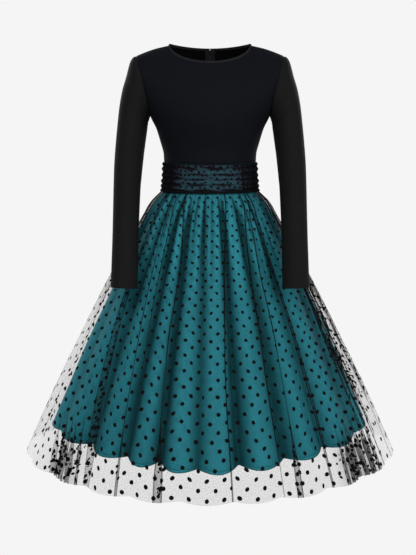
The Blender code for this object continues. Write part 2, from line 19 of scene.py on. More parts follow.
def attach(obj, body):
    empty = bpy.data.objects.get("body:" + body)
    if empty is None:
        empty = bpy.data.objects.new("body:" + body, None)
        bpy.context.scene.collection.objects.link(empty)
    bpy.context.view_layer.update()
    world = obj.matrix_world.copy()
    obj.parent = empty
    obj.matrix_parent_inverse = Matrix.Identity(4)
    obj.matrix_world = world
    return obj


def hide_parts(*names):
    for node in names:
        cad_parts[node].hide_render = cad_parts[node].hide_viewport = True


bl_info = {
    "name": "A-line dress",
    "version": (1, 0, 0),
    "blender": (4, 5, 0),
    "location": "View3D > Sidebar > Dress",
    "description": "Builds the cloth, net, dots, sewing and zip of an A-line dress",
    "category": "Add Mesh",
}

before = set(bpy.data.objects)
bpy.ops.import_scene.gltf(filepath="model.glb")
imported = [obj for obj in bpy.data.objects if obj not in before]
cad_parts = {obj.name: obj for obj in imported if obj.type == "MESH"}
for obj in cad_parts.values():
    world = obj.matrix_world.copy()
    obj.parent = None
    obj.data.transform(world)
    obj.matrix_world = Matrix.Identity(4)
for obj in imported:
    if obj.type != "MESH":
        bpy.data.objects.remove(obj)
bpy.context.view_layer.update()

FRONT, BACK = -1, 1
LEFT, RIGHT = 1, -1

# Seams that run round the dress, the neckline and the armhole, as in the solids.
SEAM_GAP, CLOSED_SEAM = 0.0005, 0.0001
WAIST_TOP, WAIST_BOTTOM, UNDERARM = -0.2835, -0.3545, -0.1750
NECK_HALF_WIDTH = 0.0975
NECK_FRONT_DROP, NECK_BACK_DROP = 0.0430, 0.0100
NECK_FRONT_DEPTH, NECK_BACK_DEPTH = 0.0720, 0.0560
BINDING_HEIGHT, BINDING_WALL, BINDING_FLARE = 0.0045, 0.0024, 0.75
SHOULDER_TIP = (0.1780, 0.0, -0.0300)
SHOULDER_BOW = 0.0030
ARMHOLE_SCOOP, ARMHOLE_SPREAD, SPREAD_REACH = 0.0040, 58.0, 0.6
UNDERARM_RISE, NECK_SHARE, SHOULDER_RISE = 0.40, 0.60, 0.70
SCOOP_FADE = 0.35

TorsoRow = namedtuple("TorsoRow", "z half_width front back")
TORSO = [
    TorsoRow(-0.2835, 0.1115, 0.0930, 0.0840),
    TorsoRow(-0.2590, 0.1132, 0.0945, 0.0850),
    TorsoRow(-0.2400, 0.1185, 0.0990, 0.0880),
    TorsoRow(-0.2210, 0.1240, 0.1060, 0.0925),
    TorsoRow(-0.2020, 0.1302, 0.1130, 0.0970),
    TorsoRow(-0.1750, 0.1435, 0.1185, 0.1010),
    TorsoRow(-0.1500, 0.1500, 0.1175, 0.1030),
    TorsoRow(-0.1200, 0.1550, 0.1110, 0.1025),
    TorsoRow(-0.0900, 0.1600, 0.0990, 0.0970),
    TorsoRow(-0.0600, 0.1650, 0.0825, 0.0860),
    TorsoRow(-0.0475, 0.1680, 0.0752, 0.0795),
    TorsoRow(-0.0140, 0.1750, 0.0600, 0.0590),
]

SleeveRow = namedtuple("SleeveRow", "outer_x outer_z inner_x inner_z mid_y half_depth tilt_deg")
SLEEVE = [
    SleeveRow(0.1780, -0.0300, 0.1435, -0.1750, 0.000, 0.0620, 0),
    SleeveRow(0.1848, -0.0335, 0.1450, -0.1768, 0.000, 0.0620, 0),
    SleeveRow(0.1925, -0.0460, 0.1464, -0.1795, 0.000, 0.0614, 0),
    SleeveRow(0.2018, -0.0800, 0.1478, -0.1845, -0.001, 0.0595, 1),
    SleeveRow(0.2112, -0.1120, 0.1490, -0.1900, -0.003, 0.0572, 3),
    SleeveRow(0.2180, -0.1500, 0.1502, -0.1990, -0.008, 0.0542, 5),
    SleeveRow(0.2222, -0.1900, 0.1525, -0.2170, -0.017, 0.0508, 8),
    SleeveRow(0.2258, -0.2350, 0.1562, -0.2480, -0.034, 0.0470, 11),
    SleeveRow(0.2285, -0.2850, 0.1605, -0.2900, -0.056, 0.0440, 13),
    SleeveRow(0.2290, -0.3400, 0.1645, -0.3410, -0.082, 0.0415, 13),
    SleeveRow(0.2290, -0.4000, 0.1665, -0.3990, -0.110, 0.0395, 11),
    SleeveRow(0.2292, -0.4570, 0.1678, -0.4570, -0.136, 0.0378, 9),
    SleeveRow(0.2300, -0.5130, 0.1680, -0.5150, -0.161, 0.0362, 7),
    SleeveRow(0.2305, -0.5650, 0.1678, -0.5680, -0.184, 0.0350, 5),
]

BandRow = namedtuple("BandRow", "share half_width front back")
BAND = [
    BandRow(0.0, 0.1118, 0.0930, 0.0840),
    BandRow(0.5, 0.1136, 0.0930, 0.0845),
    BandRow(1.0, 0.1168, 0.0950, 0.0870),
]
TuckRow = namedtuple("TuckRow", "share height reach wander")
TUCKS = [
    TuckRow(0.06, 0.0022, 0.070, 0.004),
    TuckRow(0.25, 0.0030, 0.085, 0.020),
    TuckRow(0.44, 0.0026, 0.080, -0.024),
    TuckRow(0.62, 0.0032, 0.085, 0.018),
    TuckRow(0.80, 0.0028, 0.080, -0.016),
    TuckRow(0.965, 0.0034, 0.050, 0.004),
]
TUCK_WAVES, TUCK_PHASE = 2, 1.7
BAND_NET_WALL = 0.0010
# Small creases between the tucks: how many lie down the band, and the waves and phase of their drift.
SMALL_CREASES = ((15, 3, 0.4), (23, 5, 1.9), (31, 7, 3.1))
SMALL_CREASE_DRIFT, SMALL_CREASE_HEIGHT = 1.3, 0.00035
# How deep in a crease the flat net lies, the height that lifts it out, and the small creases' part.
CREASE_PLAIN, CREASE_HEIGHT, CREASE_SMALL = 0.55, 0.0045, 0.35
# Seams across the band's net: the turn, and how dense the net is there.
BAND_SEAMS = ((-52.0, 0.7), (42.0, 0.8), (61.0, 0.9), (128.0, 0.8), (-131.0, 0.8))
BAND_SEAM_WIDTH_DEG, BAND_SEAM_DEPTH = 1.6, 0.0006
BAND_SIDE_DEG = (30.0, 54.0)
BAND_DOT_ROWS, BAND_DOT_FIRST, BAND_DOT_DOWN, BAND_DOT_STEP_DEG = 7, 0.09, 0.137, 7.4
BAND_DOT_LIFT = 0.0004
# The band net's density: plain, in creases, at the sides and at the edges, and its least and most.
BAND_DENSE, BAND_CREASE_DENSE, BAND_SIDE_DENSE, BAND_EDGE_DENSE = 0.02, 2.1, 0.80, 1.6
BAND_DENSE_SPAN, BAND_TOP_EDGE, BAND_BOTTOM_EDGE = (-0.4, 1.0), 0.035, 0.07
# The middle and the spread of a band dot's half width in degrees and half height in shares, how far
# off its place it is, in degrees and shares, and where its row starts, in steps.
BAND_DOT_WIDE, BAND_DOT_TALL, BAND_DOT_OFF = (1.65, 0.25), (0.036, 0.007), (1.3, 0.020)
BAND_DOT_STARTS, BAND_DOT_ENDS = (0.85, 0.35), (0.01, 0.985)

# Shallow creases in a sleeve: the place along it, the turn round it, the depth and the width.
SleeveCrease = namedtuple("SleeveCrease", "place turn_deg depth width")
SLEEVE_CREASES = (
    SleeveCrease(7.1, 120.0, 0.0016, 0.20),
    SleeveCrease(7.9, 100.0, 0.0020, 0.22),
    SleeveCrease(8.7, 125.0, 0.0014, 0.20),
    SleeveCrease(3.6, 150.0, 0.0016, 0.25),
    SleeveCrease(4.6, 140.0, 0.0012, 0.30),
)
SLEEVE_CREASE_SLANT, SLEEVE_CREASE_REACH_DEG = 0.25, 48.0
# The cuff's turned hem, by the distance from its edge.
CUFF_STITCHES, CUFF_FOLD = (0.0160, 0.0185), (0.0150, 0.0180)
CUFF_GROOVE, CUFF_GROOVE_WIDTH, CUFF_GROOVE_DEPTH, CUFF_PROUD = 0.0172, 0.0022, 0.0006, 0.0004
THREAD_RADIUS, STITCH_SHARE = 0.00032, 0.68

SkirtRow = namedtuple("SkirtRow", "share half_width half_depth fold gather")
UNDERSKIRT = [
    SkirtRow(0.000, 0.1140, 0.0925, 0.0010, 0.0012),
    SkirtRow(0.037, 0.1310, 0.1070, 0.0030, 0.0030),
    SkirtRow(0.105, 0.1565, 0.1290, 0.0070, 0.0045),
    SkirtRow(0.254, 0.1990, 0.1680, 0.0140, 0.0030),
    SkirtRow(0.425, 0.2430, 0.2090, 0.0200, 0.0012),
    SkirtRow(0.635, 0.3000, 0.2660, 0.0270, 0.0),
    SkirtRow(0.847, 0.3520, 0.3230, 0.0340, 0.0),
    SkirtRow(1.000, 0.3900, 0.3640, 0.0380, 0.0),
]
OVERSKIRT = [
    SkirtRow(0.000, 0.1200, 0.0985, 0.0010, 0.0012),
    SkirtRow(0.032, 0.1410, 0.1165, 0.0018, 0.0022),
    SkirtRow(0.092, 0.1645, 0.1370, 0.0028, 0.0022),
    SkirtRow(0.223, 0.2120, 0.1810, 0.0050, 0.0014),
    SkirtRow(0.372, 0.2626, 0.2290, 0.0080, 0.0006),
    SkirtRow(0.557, 0.3215, 0.2890, 0.0105, 0.0),
    SkirtRow(0.743, 0.3800, 0.3500, 0.0140, 0.0),
    SkirtRow(1.000, 0.4545, 0.4310, 0.0180, 0.0),
]
Hem = namedtuple("Hem", "side front_drop back_drop narrowing ridge_drop")
UNDER_HEM = Hem(-0.9130, 0.0450, 0.0260, 2, 0.0120)
OVER_HEM = Hem(-0.9840, 0.0280, 0.0260, 1.5, 0.0050)

FoldRow = namedtuple("FoldRow", "start_deg valley ridge_at ridge")
UNDER_FOLDS = [
    FoldRow(-180.0, 0.75, 0.50, 0.05),
    FoldRow(-165.0, 0.90, 0.45, 0.10),
    FoldRow(-149.0, 0.80, 0.55, 0.00),
    FoldRow(-134.0, 1.00, 0.50, 0.15),
    FoldRow(-120.0, 0.70, 0.50, 0.05),
    FoldRow(-105.0, 0.90, 0.45, 0.10),
    FoldRow(-90.0, 0.70, 0.50, 0.00),
    FoldRow(-70.0, 0.60, 0.45, 0.05),
    FoldRow(-49.0, 0.80, 0.50, 0.10),
    FoldRow(-31.5, 0.80, 0.55, 0.10),
    FoldRow(-18.7, 1.00, 0.50, 0.05),
    FoldRow(-4.5, 0.60, 0.50, 0.00),
    FoldRow(10.5, 0.95, 0.45, 0.05),
    FoldRow(28.0, 0.85, 0.50, 0.10),
    FoldRow(45.5, 0.75, 0.45, 0.00),
    FoldRow(66.0, 0.80, 0.50, 0.30),
    FoldRow(90.0, 0.80, 0.50, 0.25),
    FoldRow(104.0, 0.95, 0.55, 0.10),
    FoldRow(119.0, 0.75, 0.50, 0.00),
    FoldRow(135.0, 0.95, 0.45, 0.10),
    FoldRow(151.0, 0.80, 0.50, 0.05),
    FoldRow(166.0, 0.90, 0.50, 0.10),
]
OVER_FOLDS = [
    FoldRow(-180.0, 0.60, 0.50, 0.05),
    FoldRow(-162.0, 0.90, 0.50, 0.10),
    FoldRow(-147.0, 0.80, 0.45, 0.00),
    FoldRow(-129.0, 1.00, 0.55, 0.10),
    FoldRow(-112.0, 0.85, 0.50, 0.00),
    FoldRow(-90.0, 0.70, 0.50, 0.05),
    FoldRow(-73.0, 1.00, 0.45, 0.00),
    FoldRow(-56.0, 0.80, 0.50, 0.05),
    FoldRow(-40.0, 0.90, 0.50, 0.00),
    FoldRow(-24.0, 0.80, 0.50, 0.05),
    FoldRow(-9.0, 0.90, 0.50, 0.00),
    FoldRow(7.0, 0.80, 0.45, 0.05),
    FoldRow(21.0, 0.90, 0.50, 0.00),
    FoldRow(37.0, 0.90, 0.55, 0.05),
    FoldRow(52.0, 0.80, 0.50, 0.00),
    FoldRow(70.0, 1.00, 0.50, 0.05),
    FoldRow(90.0, 0.70, 0.50, 0.05),
    FoldRow(107.0, 0.90, 0.55, 0.00),
    FoldRow(126.0, 0.80, 0.50, 0.10),
    FoldRow(142.0, 1.00, 0.50, 0.00),
    FoldRow(160.0, 0.85, 0.50, 0.05),
]
FOLD_ROUNDNESS = 0.85
VALLEY_SOFTNESS = 0.14
SIDE_FLATNESS, SIDE_FLAT_DEG = 0.55, (44.0, 72.0)
Skirt = namedtuple("Skirt", "rows folds hem")
UNDER = Skirt(UNDERSKIRT, UNDER_FOLDS, UNDER_HEM)
OVER = Skirt(OVERSKIRT, OVER_FOLDS, OVER_HEM)
SKIRT_TOP = WAIST_BOTTOM - SEAM_GAP
PANELS = {"front": (-90.0, 90.0), "back_left": (90.0, 180.0), "back_right": (-180.0, -90.0)}

# The satin's small gathers under the waistband: their count round the dress, how far, how often and
# from where they crowd, their part of the height, and the shares down between which they fade.
SmallGather = namedtuple("SmallGather", "count crowding crowds phase part fade_from fade_to")
SMALL_GATHERS = (
    SmallGather(37, 2.4, 6, 1.0, 1.0, 0.10, 0.45),
    SmallGather(83, 3.0, 5, 0.0, 0.6, 0.03, 0.20),
)
SMALL_GATHERS_WHOLE = 0.03
# The satin's rolled hem, by the distance from its edge.
HEM_BEAD, HEM_BEAD_REACH = 0.0007, (0.0015, 0.0065)
# HEM_GROOVE_SHADE is how wide the painted shade in the hem's groove spreads.
HEM_GROOVE, HEM_GROOVE_DEPTH, HEM_GROOVE_WIDTH, HEM_GROOVE_SHADE = 0.0080, 0.0007, 0.0014, 0.0012
HEM_STITCH_SHARE = 0.0110
# How much painted shade the satin has, as its valleys' colour: by its folds, less at the sides and none
# at the top; at least so much, more from some way down, so that its top is painted lighter; more in its
# small gathers' valleys and less on their ridges, a painted highlight; and at its hem's edge and the
# hem's groove.
FOLD_PAINTED_SHADE_TO, FOLD_PAINTED_SHADE_POWER, FOLD_PAINTED_SHADE_FROM = 0.85, 0.70, (0.0, 0.10)
SIDE_LESS_PAINTED_SHADE, SIDE_LESS_PAINTED_SHADE_DEG = 0.6, (32.0, 70.0)
LEAST_PAINTED_SHADE_TOP, LEAST_PAINTED_SHADE_MORE, LEAST_PAINTED_SHADE_SHARES = 0.02, 0.16, (0.1, 0.4)
SMALL_VALLEY_PAINTED_SHADE, SMALL_RIDGE_PAINTED_HIGHLIGHT = 0.75, 0.5
HEM_EDGE_PAINTED_SHADE, HEM_GROOVE_PAINTED_SHADE = (0.0010, 0.0022), 0.7

# The net's pleats, in order round each panel. A pleat's line is turned top, hip, middle and hem
# degrees from the front at the shares LINE_AT of the way down. At the shares STRIP_AT, it overlaps
# itself by the strip widths, in millimetres, and its edges are as dense as the dark columns say.
LINE_AT = (0.0, 0.15, 0.5, 1.0)
STRIP_AT = (0.10, 0.45, 0.80, 0.92)
Pleat = namedtuple(
    "Pleat", "top hip middle hem strip_1 strip_2 strip_3 strip_4 dark_1 dark_2 dark_3 dark_4")
PLEATS = {
    "front": [
        Pleat(-84, -80, -70.8, -70, 3, 2, 0, 0, 0.8, 0.8, 0.0, 0.0),
        Pleat(-78, -75, -69, -56.4, 0, 0, 0, 18, 0.0, 0.0, 0.0, 0.25),
        Pleat(-74, -71, -65, -53.3, 0, 0, 0, 22, 0.0, 0.0, 0.0, 0.75),
        Pleat(-70, -67, -61, -50.2, 0, 0, 0, 22, 0.0, 0.0, 0.0, 0.40),
        Pleat(-66, -63, -57, -47.0, 0, 0, 0, 22, 0.0, 0.0, 0.1, 0.25),
        Pleat(-62, -59, -53.0, -43.4, 0, 0, 1, 10, 0.0, 0.0, 0.4, 0.90),
        Pleat(-57, -54, -47.5, -39.6, 9, 20, 19, 19, 0.7, 0.42, 0.32, 0.30),
        Pleat(-44, -39, -33, -28, 2, 2, 2, 6, 0.8, 0.7, 0.8, 0.9),
        Pleat(-37, -33, -28.7, -25, 2, 1, 0, 0, 0.7, 0.5, 0.0, 0.0),
        Pleat(-28, -20.5, -18.5, -15, 3, 3, 4, 20, 0.9, 0.9, 0.9, 0.7),
        Pleat(-5, -4, -3, -3, 1, 0, 0, 0, 0.5, 0.0, 0.0, 0.0),
        Pleat(16.5, 11, 6.5, 6.5, 2, 2, 2, 3, 0.9, 0.9, 0.9, 0.8),
        Pleat(36, 27.5, 23, 22, 3, 2, 2, 1, 0.8, 0.9, 0.7, 0.3),
        Pleat(42, 33.7, 29.5, 26.5, 2, 2, 3, 13, 0.8, 0.8, 0.9, 0.95),
        Pleat(47, 42, 40.5, 39, 3, 7, 6, 4, 0.8, 0.9, 0.8, 0.9),
        Pleat(53, 50, 47.5, 44.8, 0, 0, 0, 12, 0.0, 0.0, 0.1, 0.25),
        Pleat(57, 54, 50.5, 48.4, 0, 0, 0, 23, 0.0, 0.0, 0.0, 0.25),
        Pleat(61, 58, 54, 51.9, 0, 0, 0, 23, 0.0, 0.0, 0.1, 0.40),
        Pleat(65, 62, 57, 55.2, 0, 0, 1, 23, 0.0, 0.0, 0.3, 0.70),
        Pleat(70, 66.5, 61.5, 58.6, 4, 20, 10, 22, 0.7, 0.7, 0.8, 0.6),
        Pleat(75, 72, 65.5, 62.2, 3, 5, 9, 12, 0.7, 0.8, 0.9, 0.9),
        Pleat(80, 78, 70.5, 66.8, 3, 6, 9, 8, 0.7, 0.9, 1.0, 0.7),
        Pleat(85, 83, 79, 76, 3, 3, 2, 2, 0.7, 0.7, 0.4, 0.3),
    ],
    "back_left": [
        Pleat(104, 105, 108, 109, 2, 2, 1, 3, 0.7, 0.4, 0.3, 0.6),
        Pleat(118, 119, 121, 122, 6, 17, 18, 15, 0.7, 0.8, 0.8, 0.8),
        Pleat(124, 125, 127, 127, 0, 0, 1, 9, 0.0, 0.0, 0.3, 0.8),
        Pleat(127, 128, 130, 130, 0, 0, 0, 11, 0.0, 0.0, 0.2, 1.0),
        Pleat(132, 133, 136, 138, 2, 2, 2, 4, 0.8, 0.8, 0.8, 0.8),
        Pleat(140, 141, 144, 145, 2, 1, 0, 0, 0.7, 0.4, 0.0, 0.0),
        Pleat(152, 153, 157, 160, 3, 2, 3, 15, 0.9, 0.8, 0.8, 0.9),
        Pleat(166, 167, 170, 171, 3, 2, 2, 2, 0.8, 0.8, 0.7, 0.6),
    ],
    "back_right": [
        Pleat(-171, -171, -170, -169, 3, 2, 2, 3, 0.8, 0.8, 0.8, 0.7),
        Pleat(-162, -161, -158, -156, 2, 1, 0, 0, 0.6, 0.4, 0.0, 0.0),
        Pleat(-152, -150, -146, -144, 3, 3, 3, 5, 0.9, 0.9, 0.9, 0.9),
        Pleat(-138, -136, -132, -130, 2, 2, 3, 12, 0.8, 0.8, 0.8, 0.9),
        Pleat(-127, -125, -122, -121, 4, 15, 12, 10, 0.7, 0.8, 0.8, 0.9),
        Pleat(-121, -120, -118, -117, 0, 0, 1, 9, 0.0, 0.0, 0.3, 1.0),
        Pleat(-104, -104, -106, -107, 2, 2, 1, 3, 0.7, 0.4, 0.3, 0.5),
    ],
}
# Where the net is crushed together: the middle turn, half the width, the shares down between which
# it grows and past which it ends, how dense it gets, and how many dots are crushed with it.
Crush = namedtuple("Crush", "turn_deg half_deg low high end dense dots")
CRUSHES = [
    Crush(-50.5, 8.5, 0.85, 0.89, 1.10, 0.15, 1.0),
    Crush(52.5, 12.5, 0.868, 0.89, 1.10, 0.30, 1.0),
    Crush(66.0, 7.0, 0.22, 0.34, 0.76, 0.20, 0.5),
    Crush(77.0, 9.0, 0.24, 0.36, 0.76, 0.10, 0.5),
    Crush(127.0, 6.0, 0.84, 0.92, 1.10, 0.16, 0.7),
    Crush(-131.0, 6.0, 0.84, 0.92, 1.10, 0.16, 0.7),
]
CRUSH_FADE = 0.10
# Where the net is crinkled: the middle turn, half the width, the shares down between which it is,
# the crinkles' height and the turn from one to the next.
Crinkle = namedtuple("Crinkle", "turn_deg half_deg low end height wave_deg")
CRINKLES = [
    Crinkle(73.0, 16.0, 0.20, 0.84, 0.0060, 3.6),
    Crinkle(-74.0, 14.0, 0.10, 0.40, 0.0035, 3.9),
    Crinkle(-50.5, 9.0, 0.84, 1.10, 0.0050, 2.3),
    Crinkle(53.0, 11.0, 0.84, 1.10, 0.0050, 2.1),
    Crinkle(127.0, 8.0, 0.84, 1.10, 0.0045, 2.2),
    Crinkle(-131.0, 8.0, 0.84, 1.10, 0.0045, 2.4),
]
CRINKLE_FADE, CRINKLE_STEP, PLAIN_STEP = 0.10, 0.0036, 0.011
# The heights and counts of the two sways of the crinkles' lines, and of the change in their width.
CRINKLE_SWAY, CRINKLE_SWAYS, CRINKLE_UNEVEN = (2.2, 0.8), (11, 31), (1.2, 0.8)
# How far round a crinkled place the net's stations are close, and how dense its steep parts are.
CRINKLE_MARGIN_DEG, CRINKLE_DENSE = 4.0, 0.16
SEAM_DEG = 0.008
# A pleat's layers lie apart by twice the lift, which wide strips reach in full, and ease back flat.
PLEAT_LIFT, PLEAT_EASE, LIFTED_STRIP = 0.0007, 0.006, 0.0020
# The share of the net beside it that a pleat's strip may take, and the width of one that is closed.
STRIP_ROOM, THINNEST_STRIP = 0.8, 0.0001
# Stations beside a pleat, as a distance and a share of the stretch at most, and their density.
NEAR_STATION, CLOSE_STATION, EDGE_FADE = (0.0012, 0.12), (0.0030, 0.25), (1.0, 0.45)
PLEAT_TIP = 0.0004
# Between its edges a pleat is less dense, and a wide strip less still.
INNER_DENSE, INNER_OPEN, WIDE_STRIP = 0.36, 0.10, 0.015
# How much a pleat's density wavers on its way down, and one's that starts only near the hem.
PLEAT_WAVER, HEM_PLEAT_WAVER = 0.12, 0.35
NET_DENSE = (-0.14, 1.0)
# The upright streaks in the gathered net: their counts round the dress, and how much they change it.
STREAKS, STREAK_SHARE = (260, 431), 0.45
# How dense the net is at the waist, and how soon that fades. At the sides it is denser down to a
# share, and more open from another share on.
WAIST_DENSE, WAIST_DENSE_FADE = 0.15, 0.03
NET_SIDE_DEG, NET_SIDE_DENSE, NET_SIDE_DENSE_TO = (58.0, 76.0), 0.5, (0.06, 0.34)
NET_SIDE_OPEN, NET_SIDE_OPEN_FROM = 0.12, (0.38, 0.5)
# From the share HEM_PLEATS_FROM on, the dots follow the hem's pleats too. Towards the sides they
# are spaced wider, and above the hem's pleats they are made wider.
HEM_PLEATS_FROM = 0.86
SIDE_DOT_SPACING, SPACED_FROM_DEG, SPACED_TO_DEG = 2.8, 50.0, 80.0
HEM_SPACED_LATER_DEG, HEM_SPACED_FROM, HEM_SPACED_TO = 16.0, 0.80, 0.88
SIDE_DOT_WIDENING, WIDENED_DEG = 0.45, (38.0, 58.0)
DOT_LIFT, CRUSHED_DOT_LIFT = 0.0004, 0.0005
DOT_ENDS = (0.002, 0.999)
# The rows of dots: the first and the end, as shares down. Each dot is a little off its place, a
# little narrower or wider, and a little turned, and one that a pleat squeezes too much is left out.
DOT_ROWS = (0.012, 0.990)
DOT_ASIDE, DOT_SQUEEZE, DOT_LEAN, DOT_LEAST_WIDTH = 0.02, (0.82, 1.04), 0.16, 0.45
# The crushed dots: their sizes, squeezes and leans, where they lie in the wide pleats, and how far
# apart down the cloth they are looked for, in the pleats and in the crushed places.
CRUSHED_SIZE, CRUSHED_SQUEEZE, CRUSHED_LEAN = (0.50, 0.92), (0.35, 0.95), 0.6
CRUSHED_ROWS, CRUSHED_LEAST_STRIP, CRUSHED_SURE_STRIP = (0.05, 0.985), 0.005, 0.034
CRUSHED_STEP_PLEATS, CRUSHED_STEP_CRUSHES, CRUSHED_SPREAD = 0.0062, 0.0021, 0.85
# How far out the skirt is in the crushed places, near enough for a dot's width.
CRUSHED_REACH = 0.38
DOT_AT = (0.0, 0.5, 0.65, 1.0)
DOT_SPACINGS = (0.0225, 0.0320, 0.0350, 0.0400)
DOT_ASPECTS = (1.00, 1.12, 1.14, 1.14)
SKIRT_DROP = 0.74

SLIDER_RISE, SLIDER_SPAN = 0.925, 0.03
SLIDER_SIZE = (0.0050, 0.0016, 0.0090)
BRIDGE_SIZE = (0.0016, 0.0024, 0.0064)
BRIDGE_HOLE_HEIGHT = 0.0015
PULL_SIZE = (0.0050, 0.0009, 0.0220)
PULL_BAR = 0.0009
PULL_HINGE = (0.0, 0.07475, -0.03323)
COIL_BEAD, COIL_PITCH = (0.0011, 0.0008, 0.00055), 0.0017
COIL_APART, COIL_INSIDE, COIL_TOP, COIL_END = 0.0005, 0.0036, 0.006, 0.004
# How square the slider and the pull tab are, from 1 for a round one towards 0, and how much
# narrower an end of each is than the other.
SLIDER_SQUARENESS, SLIDER_NARROWING = 0.6, 0.22
PULL_SQUARENESS, PULL_TAPER = 0.45, 0.14
PULL_HOLE = (0.0026, 0.0042)
PLATE_BEVEL = 0.22

CAMERA_PLACE = (-0.0048, -3.4, -0.12)
CAMERA_TILT_DEG = 7.48015
CAMERA_LENS_MM, CAMERA_SENSOR_MM = 90.68768, 36.0
FLOOR_HEIGHT, FLOOR_SIZE = -1.45, 30.0
# Each lamp's name, place, size and power. They all point at one place on the dress.
LAMPS = (
    ("key", (-1.0, -2.9, 1.5), 1.4, 62.0),
    ("fill", (2.2, -2.2, 0.4), 1.8, 44.0),
    ("back_left", (-1.8, 2.6, 0.8), 1.6, 42.0),
    ("back_right", (1.6, 2.8, 0.6), 1.6, 42.0),
)
LAMPS_AIM = (0.0, 0.0, -0.45)


class DressSizes(PropertyGroup):
    """Sizes that a maker of the dress would change."""

    knit_wall: FloatProperty(
        name="Knit", description="Thickness of the knit", default=0.0008, unit="LENGTH")
    satin_wall: FloatProperty(
        name="Satin", description="Thickness of the satin", default=0.0005, unit="LENGTH")
    seam_depth: FloatProperty(
        name="Seam depth", description="How far a seam draws the cloth in", default=0.0011,
        unit="LENGTH")
    seam_width: FloatProperty(
        name="Seam width", description="How wide the drawn-in strip beside a seam is",
        default=0.0045, unit="LENGTH")
    gather_height: FloatProperty(
        name="Small gathers", description="Height of the satin's small gathers under the waistband",
        default=0.0032, unit="LENGTH")
    dot_share: FloatProperty(
        name="Dot size", description="A dot's radius as a share of the dots' spacing",
        default=0.140, min=0.02, max=0.4, subtype="FACTOR")
    stitch_pitch: FloatProperty(
        name="Stitch", description="Distance from one stitch to the next", default=0.0032,
        unit="LENGTH")


class DressColours(PropertyGroup):
    """Colours of the cloths."""

    bodice: FloatVectorProperty(
        name="Bodice", description="Colour of the bodice's knit", subtype="COLOR",
        default=(0.0034, 0.0038, 0.0060))
    # The binding is painted lighter than the bodice's knit: a painted highlight for the light caught
    # along its folded edge.
    binding: FloatVectorProperty(
        name="Neck binding", description="Colour of the neck binding", subtype="COLOR",
        default=(0.0130, 0.0130, 0.0140))
    sleeve: FloatVectorProperty(
        name="Sleeves", description="Colour of the sleeves' knit", subtype="COLOR",
        default=(0.0064, 0.0064, 0.0064))
    # The satin's ridge colour is its lit colour. Its valley colour is painted shade, which the 'fold'
    # attribute mixes in down in the folds.
    satin: FloatVectorProperty(
        name="Satin ridge", description="Colour of the satin on its ridges", subtype="COLOR",
        default=(0.041, 0.348, 0.428))
    satin_painted_shade: FloatVectorProperty(
        name="Satin valley", description="Colour of the satin deep in its folds", subtype="COLOR",
        default=(0.0025, 0.050, 0.061))
    net: FloatVectorProperty(
        name="Net", description="Colour of the net", subtype="COLOR",
        default=(0.0110, 0.0090, 0.0070))
    # The crease colour darkens the net where it is dense: a painted shade, laid over its real denser
    # cover.
    crease: FloatVectorProperty(
        name="Net in a crease", description="Colour of the net where it is crushed together",
        subtype="COLOR", default=(0.0050, 0.0050, 0.0060))
    band_net: FloatVectorProperty(
        name="Band net", description="Colour of the net ruched over the waistband", subtype="COLOR",
        default=(0.0300, 0.0260, 0.0380))
    dot: FloatVectorProperty(
        name="Dots", description="Colour of the flocked dots", subtype="COLOR",
        default=(0.0040, 0.0040, 0.0045))
    backdrop: FloatVectorProperty(
        name="Backdrop", description="Colour of the floor and the backdrop", subtype="COLOR",
        default=(0.913, 0.913, 0.913))


# ---------------------------------------------------------------- surfaces

def smooth(places, values, at):
    """Values at places between the given ones, on a smooth curve through them."""
    places, values = np.asarray(places, float), np.asarray(values, float)
    slopes = np.gradient(values, places)
    at = np.clip(at, places[0], places[-1])
    i = np.clip(np.searchsorted(places, at) - 1, 0, len(places) - 2)
    span = places[i + 1] - places[i]
    t = (at - places[i]) / span
    start, end = (1 + 2 * t) * (1 - t) ** 2, t * t * (3 - 2 * t)
    lead, trail = t * (1 - t) ** 2 * span, t * t * (t - 1) * span
    return start * values[i] + end * values[i + 1] + lead * slopes[i] + trail * slopes[i + 1]


def read(table, column, at):
    return smooth([row[0] for row in table], [getattr(row, column) for row in table], at)


def ease(low, high, value):
    """From 0 at low to 1 at high, with no corner at either end."""
    t = np.clip((value - low) / (high - low), 0.0, 1.0)
    return t * t * (3 - 2 * t)


def squared(wave, power):
    """A sine or cosine bent so that a circle drawn with it is a rounded square."""
    return np.sign(wave) * np.abs(wave) ** power


def stack(x, y, z):
    return np.stack(np.broadcast_arrays(x, y, z), axis=-1).astype(float)


def outward(turn_deg):
    """The level direction away from the dress's upright axis at a turn from the front."""
    turn = np.radians(turn_deg)
    return stack(np.sin(turn), -np.cos(turn), 0.0)


def neck_points(turn_deg, lip):
    """The neckline: lip is 0 at the bodice's edge and 1 at the top of the binding."""
    turn = np.radians(turn_deg)
    forward = np.cos(turn)
    below = BINDING_HEIGHT * (1 - lip)
    flare = BINDING_FLARE * below
    depth = np.where(forward < 0, NECK_BACK_DEPTH, NECK_FRONT_DEPTH)
    drop = np.where(forward < 0, NECK_BACK_DROP * forward**2, NECK_FRONT_DROP * forward)
    return stack(
        (NECK_HALF_WIDTH + flare) * np.sin(turn), -(depth + flare) * forward, -drop - below)


def sleeve_points(turn_deg, place):
    """The left sleeve: place runs along the rows of SLEEVE, turn 0 is its outer line, 90 its front."""
    def at(column):
        return smooth(range(len(SLEEVE)), [getattr(row, column) for row in SLEEVE], place)
    turn, tilt = np.radians(turn_deg), np.radians(at("tilt_deg"))
    depth = at("half_depth") * np.sin(turn)
    scoop = ARMHOLE_SCOOP * SCOOP_FADE ** np.asarray(place, float) * np.sin(turn) ** 2
    across = np.cos(turn)
    return stack(
        (at("outer_x") + at("inner_x")) / 2 + (at("outer_x") - at("inner_x")) / 2 * across - scoop,
        at("mid_y") - np.cos(tilt) * depth,
        (at("outer_z") + at("inner_z")) / 2 + (at("outer_z") - at("inner_z")) / 2 * across
        + np.sin(tilt) * depth,
    )


def armhole_turn(rise):
    return 180.0 * (1 - rise) / (1 - UNDERARM_RISE)


